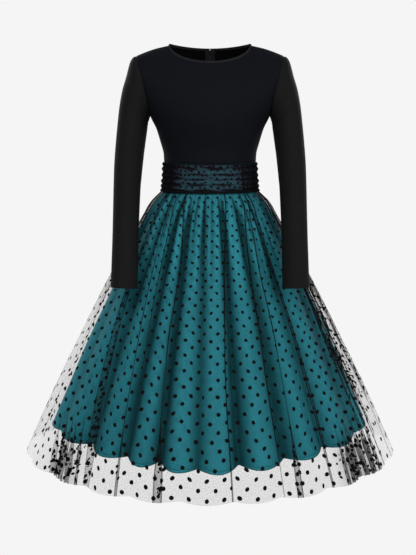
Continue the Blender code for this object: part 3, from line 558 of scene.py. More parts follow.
def top_edge(share, face):
    """The bodice's top edge from the centre (0) to the shoulder tip (1): neckline, then shoulder."""
    turn = 90.0 * np.minimum(share / NECK_SHARE, 1.0)
    neck = neck_points(turn if face == FRONT else 180.0 - turn, 0.0)
    seam = np.clip((share - NECK_SHARE) / (1 - NECK_SHARE), 0.0, 1.0)
    shoulder = neck + (np.array(SHOULDER_TIP) - neck) * seam[..., None]
    shoulder[..., 2] += SHOULDER_BOW * np.sin(np.pi * seam)
    return shoulder


def torso_points(share, rise, face):
    over = np.maximum((rise - UNDERARM_RISE) / (1 - UNDERARM_RISE), 0.0)
    below = WAIST_TOP + (UNDERARM - WAIST_TOP) * rise / UNDERARM_RISE
    above = UNDERARM + (top_edge(np.array(0.0), face)[2] - UNDERARM) * over
    height = np.where(over > 0, above, below)
    hole = sleeve_points(armhole_turn(np.maximum(rise, UNDERARM_RISE)), 0.0)
    edge_x = np.where(over > 0, hole[..., 0], read(TORSO, "half_width", height))
    edge_y = np.where(over > 0, -face * hole[..., 1], 0.0)
    edge_z = np.where(over > 0, hole[..., 2], height)
    depth = read(TORSO, "front" if face == FRONT else "back", height)
    spread = np.radians(90.0 + (ARMHOLE_SPREAD - 90.0) * ease(0.0, SPREAD_REACH, over))
    angle = share * spread
    toward = (np.cos(angle) - np.cos(spread)) / (1 - np.cos(spread))
    return stack(
        edge_x * np.sin(angle) / np.sin(spread),
        edge_y + (face * depth - edge_y) * toward,
        height + (edge_z - height) * share**2,
    )


def bodice_points(across, rise, face):
    """The outside of the bodice: across runs from -1 to 1, from one side to the other."""
    across, rise = np.broadcast_arrays(np.asarray(across, float), np.asarray(rise, float))
    share = np.abs(across)
    points = torso_points(share, rise, face)
    short = top_edge(share, face) - torso_points(share, np.ones_like(rise), face)
    quarter = np.pi / 2 * np.maximum((rise - SHOULDER_RISE) / (1 - SHOULDER_RISE), 0.0)
    points[..., 0] += short[..., 0] * np.sin(quarter)
    points[..., 1] += short[..., 1] * (1 - np.cos(quarter))
    points[..., 2] += short[..., 2] * np.sin(quarter) ** 2
    points[..., 0] *= np.copysign(1.0, across)
    points[..., 1] += face * CLOSED_SEAM / 2
    return points


def band_points(turn_deg, share, out=0.0):
    """The waistband's satin surface, from its top (0) to its bottom (1), or out from it."""
    turn_deg, share = np.broadcast_arrays(np.asarray(turn_deg, float), np.asarray(share, float))
    turn = np.radians(turn_deg)
    depth = np.where(np.cos(turn) > 0, read(BAND, "front", share), read(BAND, "back", share))
    height = WAIST_TOP - SEAM_GAP + (WAIST_BOTTOM - WAIST_TOP + SEAM_GAP) * share
    points = stack(read(BAND, "half_width", share) * np.sin(turn), -depth * np.cos(turn), height)
    return points + outward(turn_deg) * np.asarray(out)[..., None]


def ruching(turn_deg, share):
    """How far the band's net stands off the satin, and how deep in a crease it lies, from 0 to 1."""
    height = np.zeros(np.broadcast(turn_deg, share).shape)
    for number, tuck in enumerate(TUCKS):
        wave = np.radians(TUCK_WAVES * turn_deg) + TUCK_PHASE * number
        near = np.abs(share - tuck.share - tuck.wander * np.sin(wave)) / tuck.reach
        height = np.maximum(height, tuck.height * np.cos(np.minimum(near, 1.0) * np.pi / 2))
    small = np.zeros_like(height)
    for number, (count, waves, phase) in enumerate(SMALL_CREASES):
        drift = SMALL_CREASE_DRIFT * np.sin(np.radians(waves * turn_deg) + phase)
        small += np.sin(2 * np.pi * count * share + drift * (2 + number)) / len(SMALL_CREASES)
    crease = np.clip(CREASE_PLAIN - height / CREASE_HEIGHT - CREASE_SMALL * small, 0.0, 1.0)
    return height + SMALL_CREASE_HEIGHT * small * np.sin(np.pi * np.clip(share, 0, 1)), crease


def fold_at(folds, turn_deg):
    """How far across its fold a turn lies, with the ridge at 0.5, and how far in the skirt is there."""
    starts = np.array([fold.start_deg for fold in folds])
    ends = np.append(starts[1:], 180.0)
    valley = np.array([fold.valley for fold in folds])
    ridge = np.array([fold.ridge for fold in folds])
    ridge_at = np.array([fold.ridge_at for fold in folds])
    turn = (turn_deg + 180.0) % 360.0 - 180.0
    i = np.clip(np.searchsorted(starts, turn + 1e-9, side="right") - 1, 0, len(folds) - 1)
    across = (turn - starts[i]) / (ends[i] - starts[i])
    low, high = 0.5 * across / ridge_at[i], 1 - 0.5 * (1 - across) / (1 - ridge_at[i])
    across = np.where(across < ridge_at[i], low, high)
    foot = np.where(across < 0.5, valley[i], valley[(i + 1) % len(folds)])
    risen = np.maximum(np.sin(np.pi * across), 0.0) ** FOLD_ROUNDNESS
    risen = risen**2 / (risen + VALLEY_SOFTNESS) * (1 + VALLEY_SOFTNESS)
    return across, foot + (ridge[i] - foot) * risen


def side_share(turn_deg, low, high):
    """How far towards the dress's side a turn lies: 0 up to low degrees from it, 1 from high on."""
    away = np.abs((turn_deg + 180.0) % 360.0 - 180.0)
    return ease(low, high, np.minimum(away, 180.0 - away))


def skirt_points(skirt, turn_deg, share, out=0.0):
    """A skirt's outside, from the waist (0) to the hem (1), or out from it."""
    turn_deg, share = np.broadcast_arrays(np.asarray(turn_deg, float), np.asarray(share, float))
    turn = np.radians(turn_deg)
    across, inward = fold_at(skirt.folds, turn_deg)
    inward = inward * (1 - SIDE_FLATNESS * side_share(turn_deg, *SIDE_FLAT_DEG))
    gather = 0.5 + 0.5 * np.cos(4 * np.pi * across)
    depth = read(skirt.rows, "fold", share) * inward + read(skirt.rows, "gather", share) * gather
    lower = np.where(np.cos(turn) > 0, skirt.hem.front_drop, skirt.hem.back_drop)
    drop = lower * np.abs(np.cos(turn)) ** skirt.hem.narrowing
    hem = skirt.hem.side - drop - skirt.hem.ridge_drop * (0.5 - inward)
    points = stack(
        (read(skirt.rows, "half_width", share) - depth) * np.sin(turn),
        -(read(skirt.rows, "half_depth", share) - depth) * np.cos(turn),
        SKIRT_TOP + (hem - SKIRT_TOP) * share,
    )
    return points + outward(turn_deg) * np.asarray(out)[..., None]


def crinkled(turn_deg, share):
    """How far the net's small crinkles draw it in, and how steep they are there, from 0 to 1."""
    depth = np.zeros(np.broadcast(turn_deg, share).shape)
    steep = np.zeros_like(depth)
    for crinkle in CRINKLES:
        near = 1 - ease(0.5, 1.0, np.abs(turn_deg - crinkle.turn_deg) / crinkle.half_deg)
        grown = near * ease(crinkle.low, crinkle.low + CRINKLE_FADE, share)
        grown = grown * (1 - ease(crinkle.end - CRINKLE_FADE, crinkle.end, share))
        # The crinkles sway on their way down, and are wider here and narrower there.
        sway = CRINKLE_SWAY[0] * np.sin(CRINKLE_SWAYS[0] * share + crinkle.turn_deg)
        sway = sway + CRINKLE_SWAY[1] * np.sin(CRINKLE_SWAYS[1] * share + turn_deg / 2)
        uneven = CRINKLE_UNEVEN[0] * np.sin(CRINKLE_UNEVEN[1] * turn_deg)
        wave = 2 * np.pi * turn_deg / crinkle.wave_deg + sway + uneven
        depth = depth + crinkle.height * grown * (0.5 - 0.5 * np.cos(wave))
        steep = np.maximum(steep, grown * np.abs(np.sin(wave)))
    return depth, steep


def small_gathers(turn_deg, share):
    """The satin's small gathers just under the waistband, from -1 to 1: uneven, and gone lower down."""
    turn = np.radians(turn_deg)
    height = 0.0
    for row in SMALL_GATHERS:
        wave = np.cos(row.count * turn + row.crowding * np.sin(row.crowds * turn + row.phase))
        height = height + row.part * (wave * (1 - ease(row.fade_from, row.fade_to, share)))
    whole_height = sum(row.part for row in SMALL_GATHERS)
    return height / whole_height * ease(0.0, SMALL_GATHERS_WHOLE, share)


# ---------------------------------------------------------------- meshes

def stations(count, margin=0.02):
    """Places from 0 to 1, closer together within a margin of either end."""
    close = np.array([0.0, 0.12, 0.3, 0.55]) * margin
    return np.concatenate([close, np.linspace(margin, 1 - margin, count), 1 - close[::-1]])


def grid_normals(points):
    across = np.gradient(points, axis=1)
    up = np.gradient(points, axis=0)
    normals = np.cross(across, up)
    return normals / np.maximum(np.linalg.norm(normals, axis=-1, keepdims=True), 1e-12)


def edge_distance(points, side):
    """How far each point of a grid lies from its bottom, top, first or last edge, along the cloth."""
    axis = 0 if side in ("bottom", "top") else 1
    steps = np.linalg.norm(np.diff(points, axis=axis), axis=-1)
    if side in ("top", "last"):
        steps = np.flip(steps, axis)
    start = np.zeros_like(np.take(steps, [0], axis))
    far = np.concatenate([start, np.cumsum(steps, axis)], axis)
    return np.flip(far, axis) if side in ("top", "last") else far


def draw_in(points, sides, depth, width, away=None):
    """Draws the cloth in beside its seams: against away, or straight in where that isn't given."""
    drop = np.zeros(points.shape[:2])
    for side in sides:
        drop = np.maximum(drop, np.maximum(1 - edge_distance(points, side) / width, 0.0) ** 1.6)
    away = grid_normals(points) if away is None else away
    return points - away * (depth * drop)[..., None]


def cloth_uv(points):
    """Flat places on the cloth, in metres, from the lengths of its middle row and column."""
    rows, columns = points.shape[:2]
    across = edge_distance(points, "first")[rows // 2]
    up = edge_distance(points, "bottom")[:, columns // 2]
    return np.stack(np.meshgrid(across, up), axis=-1)


def mesh_from(name, bm):
    """A mesh made from a bmesh, which is then freed."""
    mesh = bpy.data.meshes.new(name)
    bm.to_mesh(mesh)
    bm.free()
    return mesh


def sharpen_rims(bm):
    """Keeps a wall's rim from rounding the look of the cloth beside it."""
    for edge in bm.edges:
        edge.smooth = not edge.is_boundary


def grid_object(name, points, material, uv=None, weld=False, **attributes):
    """A sheet from a grid of points whose rows run upwards and turn anticlockwise from above."""
    rows, columns = points.shape[:2]
    bm = bmesh.new()
    bmesh.ops.create_grid(bm, x_segments=columns - 1, y_segments=rows - 1, size=1.0)
    sharpen_rims(bm)
    mesh = mesh_from(name, bm)
    mesh.vertices.foreach_set("co", points.astype(np.float32).ravel())
    corners = np.zeros(len(mesh.loops), np.int32)
    mesh.loops.foreach_get("vertex_index", corners)
    places = (cloth_uv(points) if uv is None else uv).reshape(-1, 2)
    layer = mesh.uv_layers.new(name="UVMap")
    layer.data.foreach_set("uv", places[corners].astype(np.float32).ravel())
    for key, values in attributes.items():
        attribute = mesh.attributes.new(key, "FLOAT", "POINT")
        attribute.data.foreach_set("value", values.astype(np.float32).ravel())
    if weld:
        bm = bmesh.new()
        bm.from_mesh(mesh)
        bmesh.ops.remove_doubles(bm, verts=bm.verts, dist=1e-6)
        sharpen_rims(bm)
        bm.to_mesh(mesh)
        bm.free()
    return link(name, mesh, material)


def link(name, mesh, material):
    mesh.shade_smooth()
    mesh.materials.append(material)
    obj = bpy.data.objects.new(name, mesh)
    bpy.context.scene.collection.objects.link(obj)
    return obj


def thicken(obj, wall, inside=None):
    """Gives a sheet its wall, inwards, and its inside its own material if one is given."""
    solidify = obj.modifiers.new("Wall", "SOLIDIFY")
    solidify.thickness = wall
    solidify.offset = -1.0
    if inside:
        obj.data.materials.append(inside)
        solidify.material_offset = 1
    return obj


def joined(name, template, places, material):
    """One mesh of many copies of a small template. places has a row of the template's points, already
    in place, for each copy."""
    count, size = places.shape[:2]
    faces = [[vert.index for vert in face.verts] for face in template.faces]
    mesh = bpy.data.meshes.new(name)
    mesh.from_pydata(places.reshape(-1, 3).tolist(), [], [
        [index + copy * size for index in face] for copy in range(count) for face in faces])
    template.free()
    return link(name, mesh, material)


def round_template(segments):
    """A flat disc of radius 1. It faces down, and so outwards once y runs down the cloth."""
    bm = bmesh.new()
    bmesh.ops.create_circle(bm, cap_ends=True, cap_tris=True, segments=segments, radius=1.0)
    bmesh.ops.reverse_faces(bm, faces=bm.faces)
    bm.verts.ensure_lookup_table()
    return bm


def whole(places, template):
    """Which copies of a template have no face that has lost its area."""
    corners = places[:, [[vert.index for vert in face.verts] for face in template.faces]]
    cross = np.cross(corners[:, :, 1] - corners[:, :, 0], corners[:, :, 2] - corners[:, :, 0])
    return (np.linalg.norm(cross, axis=-1) > 1e-9).all(axis=1)


def bead_template():
    bm = bmesh.new()
    bmesh.ops.create_uvsphere(bm, u_segments=6, v_segments=4, radius=1.0)
    bm.verts.ensure_lookup_table()
    return bm


def template_points(bm):
    return np.array([vert.co[:] for vert in bm.verts])


def lengths_along(line):
    """How far each point of a line lies from its start, along the line."""
    steps = np.linalg.norm(np.diff(line, axis=0), axis=-1)
    return np.concatenate([[0.0], np.cumsum(steps)])


def points_along(line, far, at):
    return np.stack([np.interp(at, far, line[:, k]) for k in range(3)], -1)


def stitches(name, line, normals, pitch, material):
    """A row of stitches along a line of points, half sunk into the cloth that it lies on."""
    far = lengths_along(line)
    middles = np.arange(pitch / 2, far[-1], pitch)
    centre = points_along(line, far, middles)
    out = points_along(normals, far, middles)
    ahead = points_along(line, far, middles + pitch / 4) - centre
    ahead /= np.maximum(np.linalg.norm(ahead, axis=-1, keepdims=True), 1e-9)
    side = np.cross(out, ahead)
    bead = bead_template()
    size = [THREAD_RADIUS, THREAD_RADIUS * 0.7, pitch * STITCH_SHARE / 2]
    shape = template_points(bead) * np.array(size)
    places = (
        centre[:, None]
        + side[:, None] * shape[None, :, 0, None]
        + out[:, None] * (shape[None, :, 1, None] + THREAD_RADIUS * 0.2)
        + ahead[:, None] * shape[None, :, 2, None]
    )
    return joined(name, bead, places, material)


# ---------------------------------------------------------------- finishes

class Finish:
    """A material under construction: its tree, its shader and a way to add linked nodes."""

    def __init__(self, name, colour, roughness, **sockets):
        self.material = bpy.data.materials.new(name)
        self.material.use_nodes = True
        self.tree = self.material.node_tree
        self.shader = self.tree.nodes["Principled BSDF"]
        self.shader.inputs["Base Color"].default_value = (*colour, 1.0)
        self.shader.inputs["Roughness"].default_value = roughness
        for socket, value in sockets.items():
            self.shader.inputs[socket.replace("_", " ")].default_value = value

    def add(self, kind, inputs=(), **settings):
        node = self.tree.nodes.new(kind)
        for key, value in settings.items():
            setattr(node, key, value)
        for socket, value in dict(inputs).items():
            if isinstance(value, bpy.types.NodeSocket):
                self.tree.links.new(value, node.inputs[socket])
            else:
                node.inputs[socket].default_value = value
        return node

    def into(self, socket, value):
        self.tree.links.new(value, self.shader.inputs[socket])

    def uv(self, scale):
        place = self.add("ShaderNodeUVMap", uv_map="UVMap").outputs["UV"]
        return self.add("ShaderNodeMapping", {"Vector": place, "Scale": scale}).outputs["Vector"]

    def place(self):
        return self.add("ShaderNodeTexCoord").outputs["Object"]

    def noise(self, vector, scale, detail=3.0):
        made = self.add("ShaderNodeTexNoise", {"Vector": vector, "Scale": scale, "Detail": detail})
        return made.outputs["Fac"]

    def math(self, operation, first, second=0.0, third=0.0, clamp=False):
        node = self.add("ShaderNodeMath", {0: first, 1: second, 2: third}, operation=operation)
        node.use_clamp = clamp
        return node.outputs[0]

    def span(self, value, low, high, to_low, to_high):
        made = self.add("ShaderNodeMapRange", {
            "Value": value, "From Min": low, "From Max": high, "To Min": to_low, "To Max": to_high})
        return made.outputs["Result"]

    def between(self, share, first, second):
        made = self.add("ShaderNodeMix", {0: share, 6: first, 7: second}, data_type="RGBA")
        return made.outputs[2]

    def attribute(self, name):
        return self.add("ShaderNodeAttribute", attribute_name=name).outputs["Fac"]

    def bump(self, height, strength, distance):
        made = self.add("ShaderNodeBump", {
            "Height": height, "Strength": strength, "Distance": distance})
        self.into("Normal", made.outputs["Normal"])


def solid(colour, scale=1.0):
    return (*(part * scale for part in colour), 1.0)


def knit_finish(name, colour):
    """A matt double knit: fine upright wales, a soft mottle and a short nap."""
    finish = Finish(name, colour, 0.80, Specular_IOR_Level=0.07)
    place = finish.uv((1.0, 1.0, 1.0))
    mottle = finish.noise(place, 55.0, 4.0)
    fine = finish.noise(place, 1400.0, 2.0)
    wales = finish.add("ShaderNodeTexWave", {"Vector": place, "Scale": 230.0, "Distortion": 1.2},
                       bands_direction="X").outputs["Fac"]
    shade = finish.between(mottle, solid(colour, 0.86), solid(colour, 1.16))
    finish.into("Base Color", shade)
    finish.into("Roughness", finish.span(fine, 0.2, 0.8, 0.70, 0.88))
    height = finish.math("ADD", finish.math("MULTIPLY", wales, 0.6), fine)
    finish.bump(height, 0.35, 0.0003)
    return finish.material


def satin_finish(name, ridge, valley):
    """A heavy satin: shade painted into its colour down in the folds, faint threads and a soft broad
    gloss.
    """
    finish = Finish(name, ridge, 0.42, Specular_IOR_Level=0.20, IOR=1.22)
    finish.shader.inputs["Specular Tint"].default_value = (0.25, 0.85, 1.0, 1.0)
    place = finish.uv((1.0, 1.0, 1.0))
    # The 'fold' attribute is painted shade: it mixes the ridge colour towards the darker valley colour.
    deep = finish.attribute("fold")
    grain = finish.noise(place, 420.0, 3.0)
    cloudy = finish.noise(finish.uv((1.0, 0.25, 1.0)), 60.0, 3.0)
    share = finish.math("ADD", deep, finish.span(cloudy, 0.3, 0.7, -0.07, 0.07), clamp=True)
    colour = finish.between(share, solid(ridge), solid(valley))
    speckled = finish.between(finish.span(grain, 0.35, 0.65, 0.0, 0.30), colour, solid(valley, 0.8))
    finish.into("Base Color", speckled)
    finish.into("Roughness", finish.span(grain, 0.3, 0.7, 0.36, 0.46))
    threads = finish.add("ShaderNodeTexWave", {"Vector": finish.uv((1.0, 0.3, 1.0)), "Scale": 420.0,
                                               "Distortion": 1.5}, bands_direction="X")
    finish.bump(threads.outputs["Fac"], 0.10, 0.0002)
    return finish.material


def net_finish(name, colour, crease, open_cover, full_cover):
    """A fine net, seen as its cover: thin where it hangs in one layer, and near full in a crease."""
    finish = Finish(name, colour, 0.90, Specular_IOR_Level=0.0)
    place = finish.uv((1.0, 1.0, 1.0))
    cells = finish.add("ShaderNodeTexVoronoi", {"Vector": place, "Scale": 520.0},
                       feature="DISTANCE_TO_EDGE")
    threads = finish.span(cells.outputs["Distance"], 0.02, 0.16, 1.35, 0.75)
    uneven = finish.span(finish.noise(place, 300.0, 3.0), 0.3, 0.7, 0.45, 1.55)
    dense = finish.attribute("gather")
    cover = finish.math("MULTIPLY", finish.math("MULTIPLY", threads, uneven), open_cover)
    room = finish.math("SUBTRACT", full_cover, cover)
    # Where the net is denser it covers more, which is real, and its colour goes to the darker crease
    # colour, which is painted shade.
    finish.into("Base Color", finish.between(dense, solid(colour), solid(crease)))
    alpha = finish.math("MULTIPLY_ADD", dense, room, cover, clamp=True)
    finish.into("Alpha", alpha)
    return finish.material


def flock_finish(name, colour):
    """Short flocked fibres, almost without a shine."""
    finish = Finish(name, colour, 0.95, Specular_IOR_Level=0.03)
    nap = finish.noise(finish.place(), 2600.0, 2.0)
    finish.into("Base Color", finish.between(nap, solid(colour, 0.6), solid(colour, 1.5)))
    finish.bump(nap, 0.5, 0.0003)
    return finish.material


def thread_finish(name, colour):
    """A sewing thread, with the fine relief of its ply."""
    finish = Finish(name, colour, 0.55, Specular_IOR_Level=0.12)
    ply = finish.noise(finish.place(), 3500.0, 1.0)
    finish.into("Base Color", finish.between(ply, solid(colour, 0.7), solid(colour, 1.4)))
    finish.bump(ply, 0.4, 0.0001)
    return finish.material


def tape_finish(name, colour):
    """A woven zip tape, in a fine herringbone."""
    finish = Finish(name, colour, 0.80, Specular_IOR_Level=0.10)
    turned = finish.add(
        "ShaderNodeMapping", {"Vector": finish.place(), "Rotation": (0.0, 0.7, 0.0)})
    weave = finish.add("ShaderNodeTexWave", {"Vector": turned.outputs["Vector"], "Scale": 420.0,
                                             "Distortion": 0.6}, bands_direction="Z")
    shade = finish.between(weave.outputs["Fac"], solid(colour, 0.6), solid(colour, 1.7))
    finish.into("Base Color", shade)
    finish.bump(weave.outputs["Fac"], 0.6, 0.0003)
    return finish.material


def lacquer_finish(name, colour):
    """Black lacquer on metal, rubbed a little where it is handled."""
    finish = Finish(name, colour, 0.32, Metallic=0.6, Coat_Weight=0.5, Coat_Roughness=0.2)
    worn = finish.noise(finish.place(), 700.0, 4.0)
    rubbed = finish.span(worn, 0.55, 0.75, 0.0, 0.5)
    finish.into("Base Color", finish.between(rubbed, solid(colour), solid(colour, 3.5)))
    finish.into("Roughness", finish.span(worn, 0.3, 0.8, 0.26, 0.46))
    return finish.material


def nylon_finish(name, colour):
    """The zip's nylon, smooth with a faint grain."""
    finish = Finish(name, colour, 0.38, Specular_IOR_Level=0.5)
    grain = finish.noise(finish.place(), 1800.0, 2.0)
    finish.into("Roughness", finish.span(grain, 0.3, 0.7, 0.30, 0.48))
    finish.bump(grain, 0.2, 0.0001)
    return finish.material


def finish_named(name, maker, *settings):
    """The material of that name, made the first time that a piece asks for it."""
    return bpy.data.materials.get(name) or maker(name, *settings)


def petrol_satin():
    ridge, valley = tuple(colours().satin), tuple(colours().satin_painted_shade)
    return finish_named("petrol_satin", satin_finish, ridge, valley)


def black_flock():
    return finish_named("black_flock", flock_finish, tuple(colours().dot))


def black_thread():
    return finish_named("black_thread", thread_finish, (0.012, 0.012, 0.012))


# ---------------------------------------------------------------- pieces

def wear(obj, slot, *nodes, body="dress"):
    """Puts a finished piece on its body and hides the solids that it stands for; slot is not used."""
    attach(obj, body)
    if nodes:
        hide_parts(*nodes)
    return obj


def sizes():
    return bpy.context.scene.dress_sizes


def colours():
    return bpy.context.scene.dress_colours


class DRESS_OT_bodice(Operator):
    """Builds the bodice: a front and two back panels, drawn in at their seams"""

    bl_idname = "dress.bodice"
    bl_label = "Bodice"

    def execute(self, context):
        knit = finish_named("bodice_knit", knit_finish, tuple(colours().bodice))
        # The knit's inside is painted much darker than its outside: a painted shade for the inside
        # lying in shadow.
        inside_painted_shade = finish_named("knit_wrong_side", knit_finish, (0.0012, 0.0012, 0.0014))
        rises = stations(64, 0.022)[:, None]
        half = stations(26, 0.04)
        for panel, face, across in (
            ("front", FRONT, 2 * stations(56, 0.02) - 1),
            ("back_left", BACK, 1 - half),
            ("back_right", BACK, -half),
        ):
            points = bodice_points(across[None, :], rises, face)
            seams = ("bottom", "top", "first", "last")
            points = draw_in(points, seams, sizes().seam_depth, sizes().seam_width)
            obj = grid_object(f"bodice_{panel}_knit", points, knit)
            thicken(obj, sizes().knit_wall, inside_painted_shade)
            wear(obj, "knit", f"bodice_{panel}")
        return {"FINISHED"}


class DRESS_OT_sleeves(Operator):
    """Builds the two long sleeves, with a turned and stitched hem at each cuff"""

    bl_idname = "dress.sleeves"
    bl_label = "Sleeves"

    def execute(self, context):
        knit = finish_named("sleeve_knit", knit_finish, tuple(colours().sleeve))
        last = len(SLEEVE) - 1
        places = last * (1 - np.concatenate([
            np.linspace(0.0, 0.06, 14), np.linspace(0.07, 0.90, 62), np.linspace(0.905, 1.0, 14)]))
        turns = np.linspace(-180.0, 180.0, 73)
        for side, word in ((LEFT, "left"), (RIGHT, "right")):
            points = sleeve_points(turns[None, :], places[:, None])
            points[..., 0] *= side
            if side == LEFT:
                points = points[:, ::-1]
            points = self.elbow_creases(points, places, turns if side == RIGHT else turns[::-1])
            points = draw_in(points, ["top"], sizes().seam_depth, sizes().seam_width)
            points = self.cuff(points)
            obj = grid_object(f"sleeve_{word}_knit", points, knit, weld=True)
            thicken(obj, sizes().knit_wall)
            wear(obj, "knit", f"sleeve_{word}")
            normals = grid_normals(points)
            sewn = []
            far = edge_distance(points, "bottom")[:, 0]
            for number, height in enumerate(CUFF_STITCHES):
                row = int(np.argmin(np.abs(far - height)))
                sewn.append(stitches(f"cuff_{word}_stitches_{number + 1}", points[row],
                                     normals[row], sizes().stitch_pitch, black_thread()))
                wear(sewn[-1], "knit")
        return {"FINISHED"}

    def elbow_creases(self, points, places, turns):
        """A few shallow creases on the inner side of the arm and of the bent elbow."""
        normals = grid_normals(points)
        for crease in SLEEVE_CREASES:
            from_middle = turns - crease.turn_deg
            slant = crease.place + SLEEVE_CREASE_SLANT * np.sin(np.radians(from_middle))
            across = np.exp(-((places[:, None] - slant[None, :]) / crease.width) ** 2)
            away = (from_middle + 180.0) % 360.0 - 180.0
            along = np.exp(-((away / SLEEVE_CREASE_REACH_DEG) ** 2))
            points = points - normals * (crease.depth * across * along[None, :])[..., None]
        return points

    def cuff(self, points):
        """A turned hem: a little proud, with a groove where it is stitched down."""
        far = edge_distance(points, "bottom")
        groove = np.exp(-(((far - CUFF_GROOVE) / CUFF_GROOVE_WIDTH) ** 2))
        lift = CUFF_PROUD * (1 - ease(*CUFF_FOLD, far)) - CUFF_GROOVE_DEPTH * groove
        return points + grid_normals(points) * lift[..., None]


class DRESS_OT_neck_binding(Operator):
    """Builds the folded strip round the neckline, open at the zip"""

    bl_idname = "dress.neck_binding"
    bl_label = "Neck binding"

    def execute(self, context):
        # Its colour is lighter than the bodice's: a painted highlight along the folded edge.
        knit = finish_named("binding_knit", knit_finish, tuple(colours().binding))
        turns = np.linspace(-179.75, 179.75, 181)
        angle = np.linspace(0.0, 2 * np.pi, 19)
        radius = BINDING_WALL / 2
        # The strip's section is a flattened ring, held back where it would meet the bodice's edge.
        inside = np.maximum(-np.sin(angle), 0.0) * np.maximum(np.cos(angle), 0.0)
        lip = 0.12 + 0.83 * (0.5 - 0.5 * np.cos(angle)) - 1.5 * inside
        out = -radius + radius * np.sin(angle) * (0.75 + 0.25 * np.cos(angle))
        points = neck_points(turns[None, :], lip[:, None])
        away = points * np.array([1.0, 1.0, 0.0])
        away /= np.linalg.norm(away, axis=-1, keepdims=True)
        points = (points + away * out[:, None, None])[::-1]
        obj = grid_object("neck_binding_knit", points, knit, weld=True)
        bm = bmesh.new()
        bm.from_mesh(obj.data)
        bmesh.ops.holes_fill(bm, edges=[edge for edge in bm.edges if edge.is_boundary])
        bmesh.ops.recalc_face_normals(bm, faces=bm.faces)
        bm.to_mesh(obj.data)
        bm.free()
        wear(obj, "knit", "neck_binding")
        sewn = stitches("neck_stitches", points[-3], grid_normals(points)[-3],
                        sizes().stitch_pitch, black_thread())
        wear(sewn, "knit")
        return {"FINISHED"}


class DRESS_OT_waistband(Operator):
    """Builds the satin waistband: a front and two back pieces"""

    bl_idname = "dress.waistband"
    bl_label = "Waistband"

    def execute(self, context):
        shares = 1 - stations(14, 0.06)
        for panel, (low, high) in PANELS.items():
            columns = stations(round((high - low) / 3))
            turns = low + SEAM_DEG + (high - low - 2 * SEAM_DEG) * columns
            points = band_points(turns[None, :], shares[:, None])
            points = draw_in(points, ["first", "last"], sizes().seam_depth / 2, sizes().seam_width,
                             outward(turns)[None])
            # Painted shade: the band's satin takes 0.35 of its valleys' darker colour all over, and all
            # of it at its top edge, where it meets the bodice.
            deep = 0.35 + 0.65 * np.maximum(1 - shares / 0.06, 0.0)[:, None] + 0.0 * turns
            obj = grid_object(f"waistband_{panel}_satin", points, petrol_satin(), fold=deep)
            thicken(obj, sizes().satin_wall)
            wear(obj, "satin", f"waistband_{panel}")
        return {"FINISHED"}


class DRESS_OT_band_net(Operator):
    """Builds the net ruched over the waistband, with its crushed dots"""

    bl_idname = "dress.band_net"
    bl_label = "Ruched band net"

    def execute(self, context):
        net = finish_named("band_net", net_finish, tuple(colours().band_net),
                           tuple(colours().crease), 0.52, 0.985)
        shares = 1 - np.linspace(0.0, 1.0, 91)
        for panel, (low, high) in PANELS.items():
            turns = np.linspace(low + SEAM_DEG, high - SEAM_DEG, round((high - low) / 1.1))
            points, gather = self.surface(turns[None, :], shares[:, None])
            obj = grid_object(f"band_net_{panel}_ruched", points, net, gather=gather)
            dots = self.dots(panel, low, high)
            wear(obj, "net", f"band_net_{panel}")
            wear(dots, "net")
        return {"FINISHED"}

    def surface(self, turn_deg, share):
        """The ruched net's points, and how dense it is there: most in creases, seams and edges."""
        turn_deg, share = np.broadcast_arrays(turn_deg, share)
        height, crease = ruching(turn_deg, share)
        seam = np.zeros_like(height)
        for line, strength in BAND_SEAMS:
            near = np.exp(-(((turn_deg - line) / BAND_SEAM_WIDTH_DEG) ** 2))
            seam = np.maximum(seam, strength * near)
        side = side_share(turn_deg, *BAND_SIDE_DEG)
        edge = (np.exp(-((share / BAND_TOP_EDGE) ** 2))
                + np.exp(-(((1 - share) / BAND_BOTTOM_EDGE) ** 2)))
        # The creases are broken: they are denser here and thinner there along their way.
        broken = 0.75 + 0.5 * np.sin(np.radians(11 * turn_deg) + 9 * share + 2 * np.sin(24 * share))
        gather = BAND_DENSE + BAND_CREASE_DENSE * crease * broken + BAND_SIDE_DENSE * side
        gather = np.clip(gather + seam + BAND_EDGE_DENSE * edge, *BAND_DENSE_SPAN)
        out = BAND_NET_WALL + SEAM_GAP + height - BAND_SEAM_DEPTH * seam
        return band_points(turn_deg, share, out), gather

    def dots(self, panel, low, high):
        """Staggered rows of dots, each a little off its place and of its own width and height."""
        chance = np.random.default_rng(400 + round(high))
        made = []
        for row in range(BAND_DOT_ROWS):
            share = BAND_DOT_FIRST + BAND_DOT_DOWN * row
            start = low + BAND_DOT_STEP_DEG * BAND_DOT_STARTS[row % 2]
            for turn in np.arange(start, high - 1.5, BAND_DOT_STEP_DEG):
                aside, down, wide, tall = chance.normal(0.0, 1.0, 4)
                made.append((turn + BAND_DOT_OFF[0] * aside, share + BAND_DOT_OFF[1] * down,
                             BAND_DOT_WIDE[0] + BAND_DOT_WIDE[1] * wide,
                             BAND_DOT_TALL[0] + BAND_DOT_TALL[1] * tall))
        turn, share, wide, tall = np.array(made).T[..., None]
        disc = round_template(10)
        shape = template_points(disc)
        turn = turn + wide * shape[None, :, 0]
        share = np.clip(share + tall * shape[None, :, 1], *BAND_DOT_ENDS)
        points, _ = self.surface(turn, share)
        points += outward(turn) * BAND_DOT_LIFT
        return joined(f"band_dots_{panel}", disc, points, black_flock())


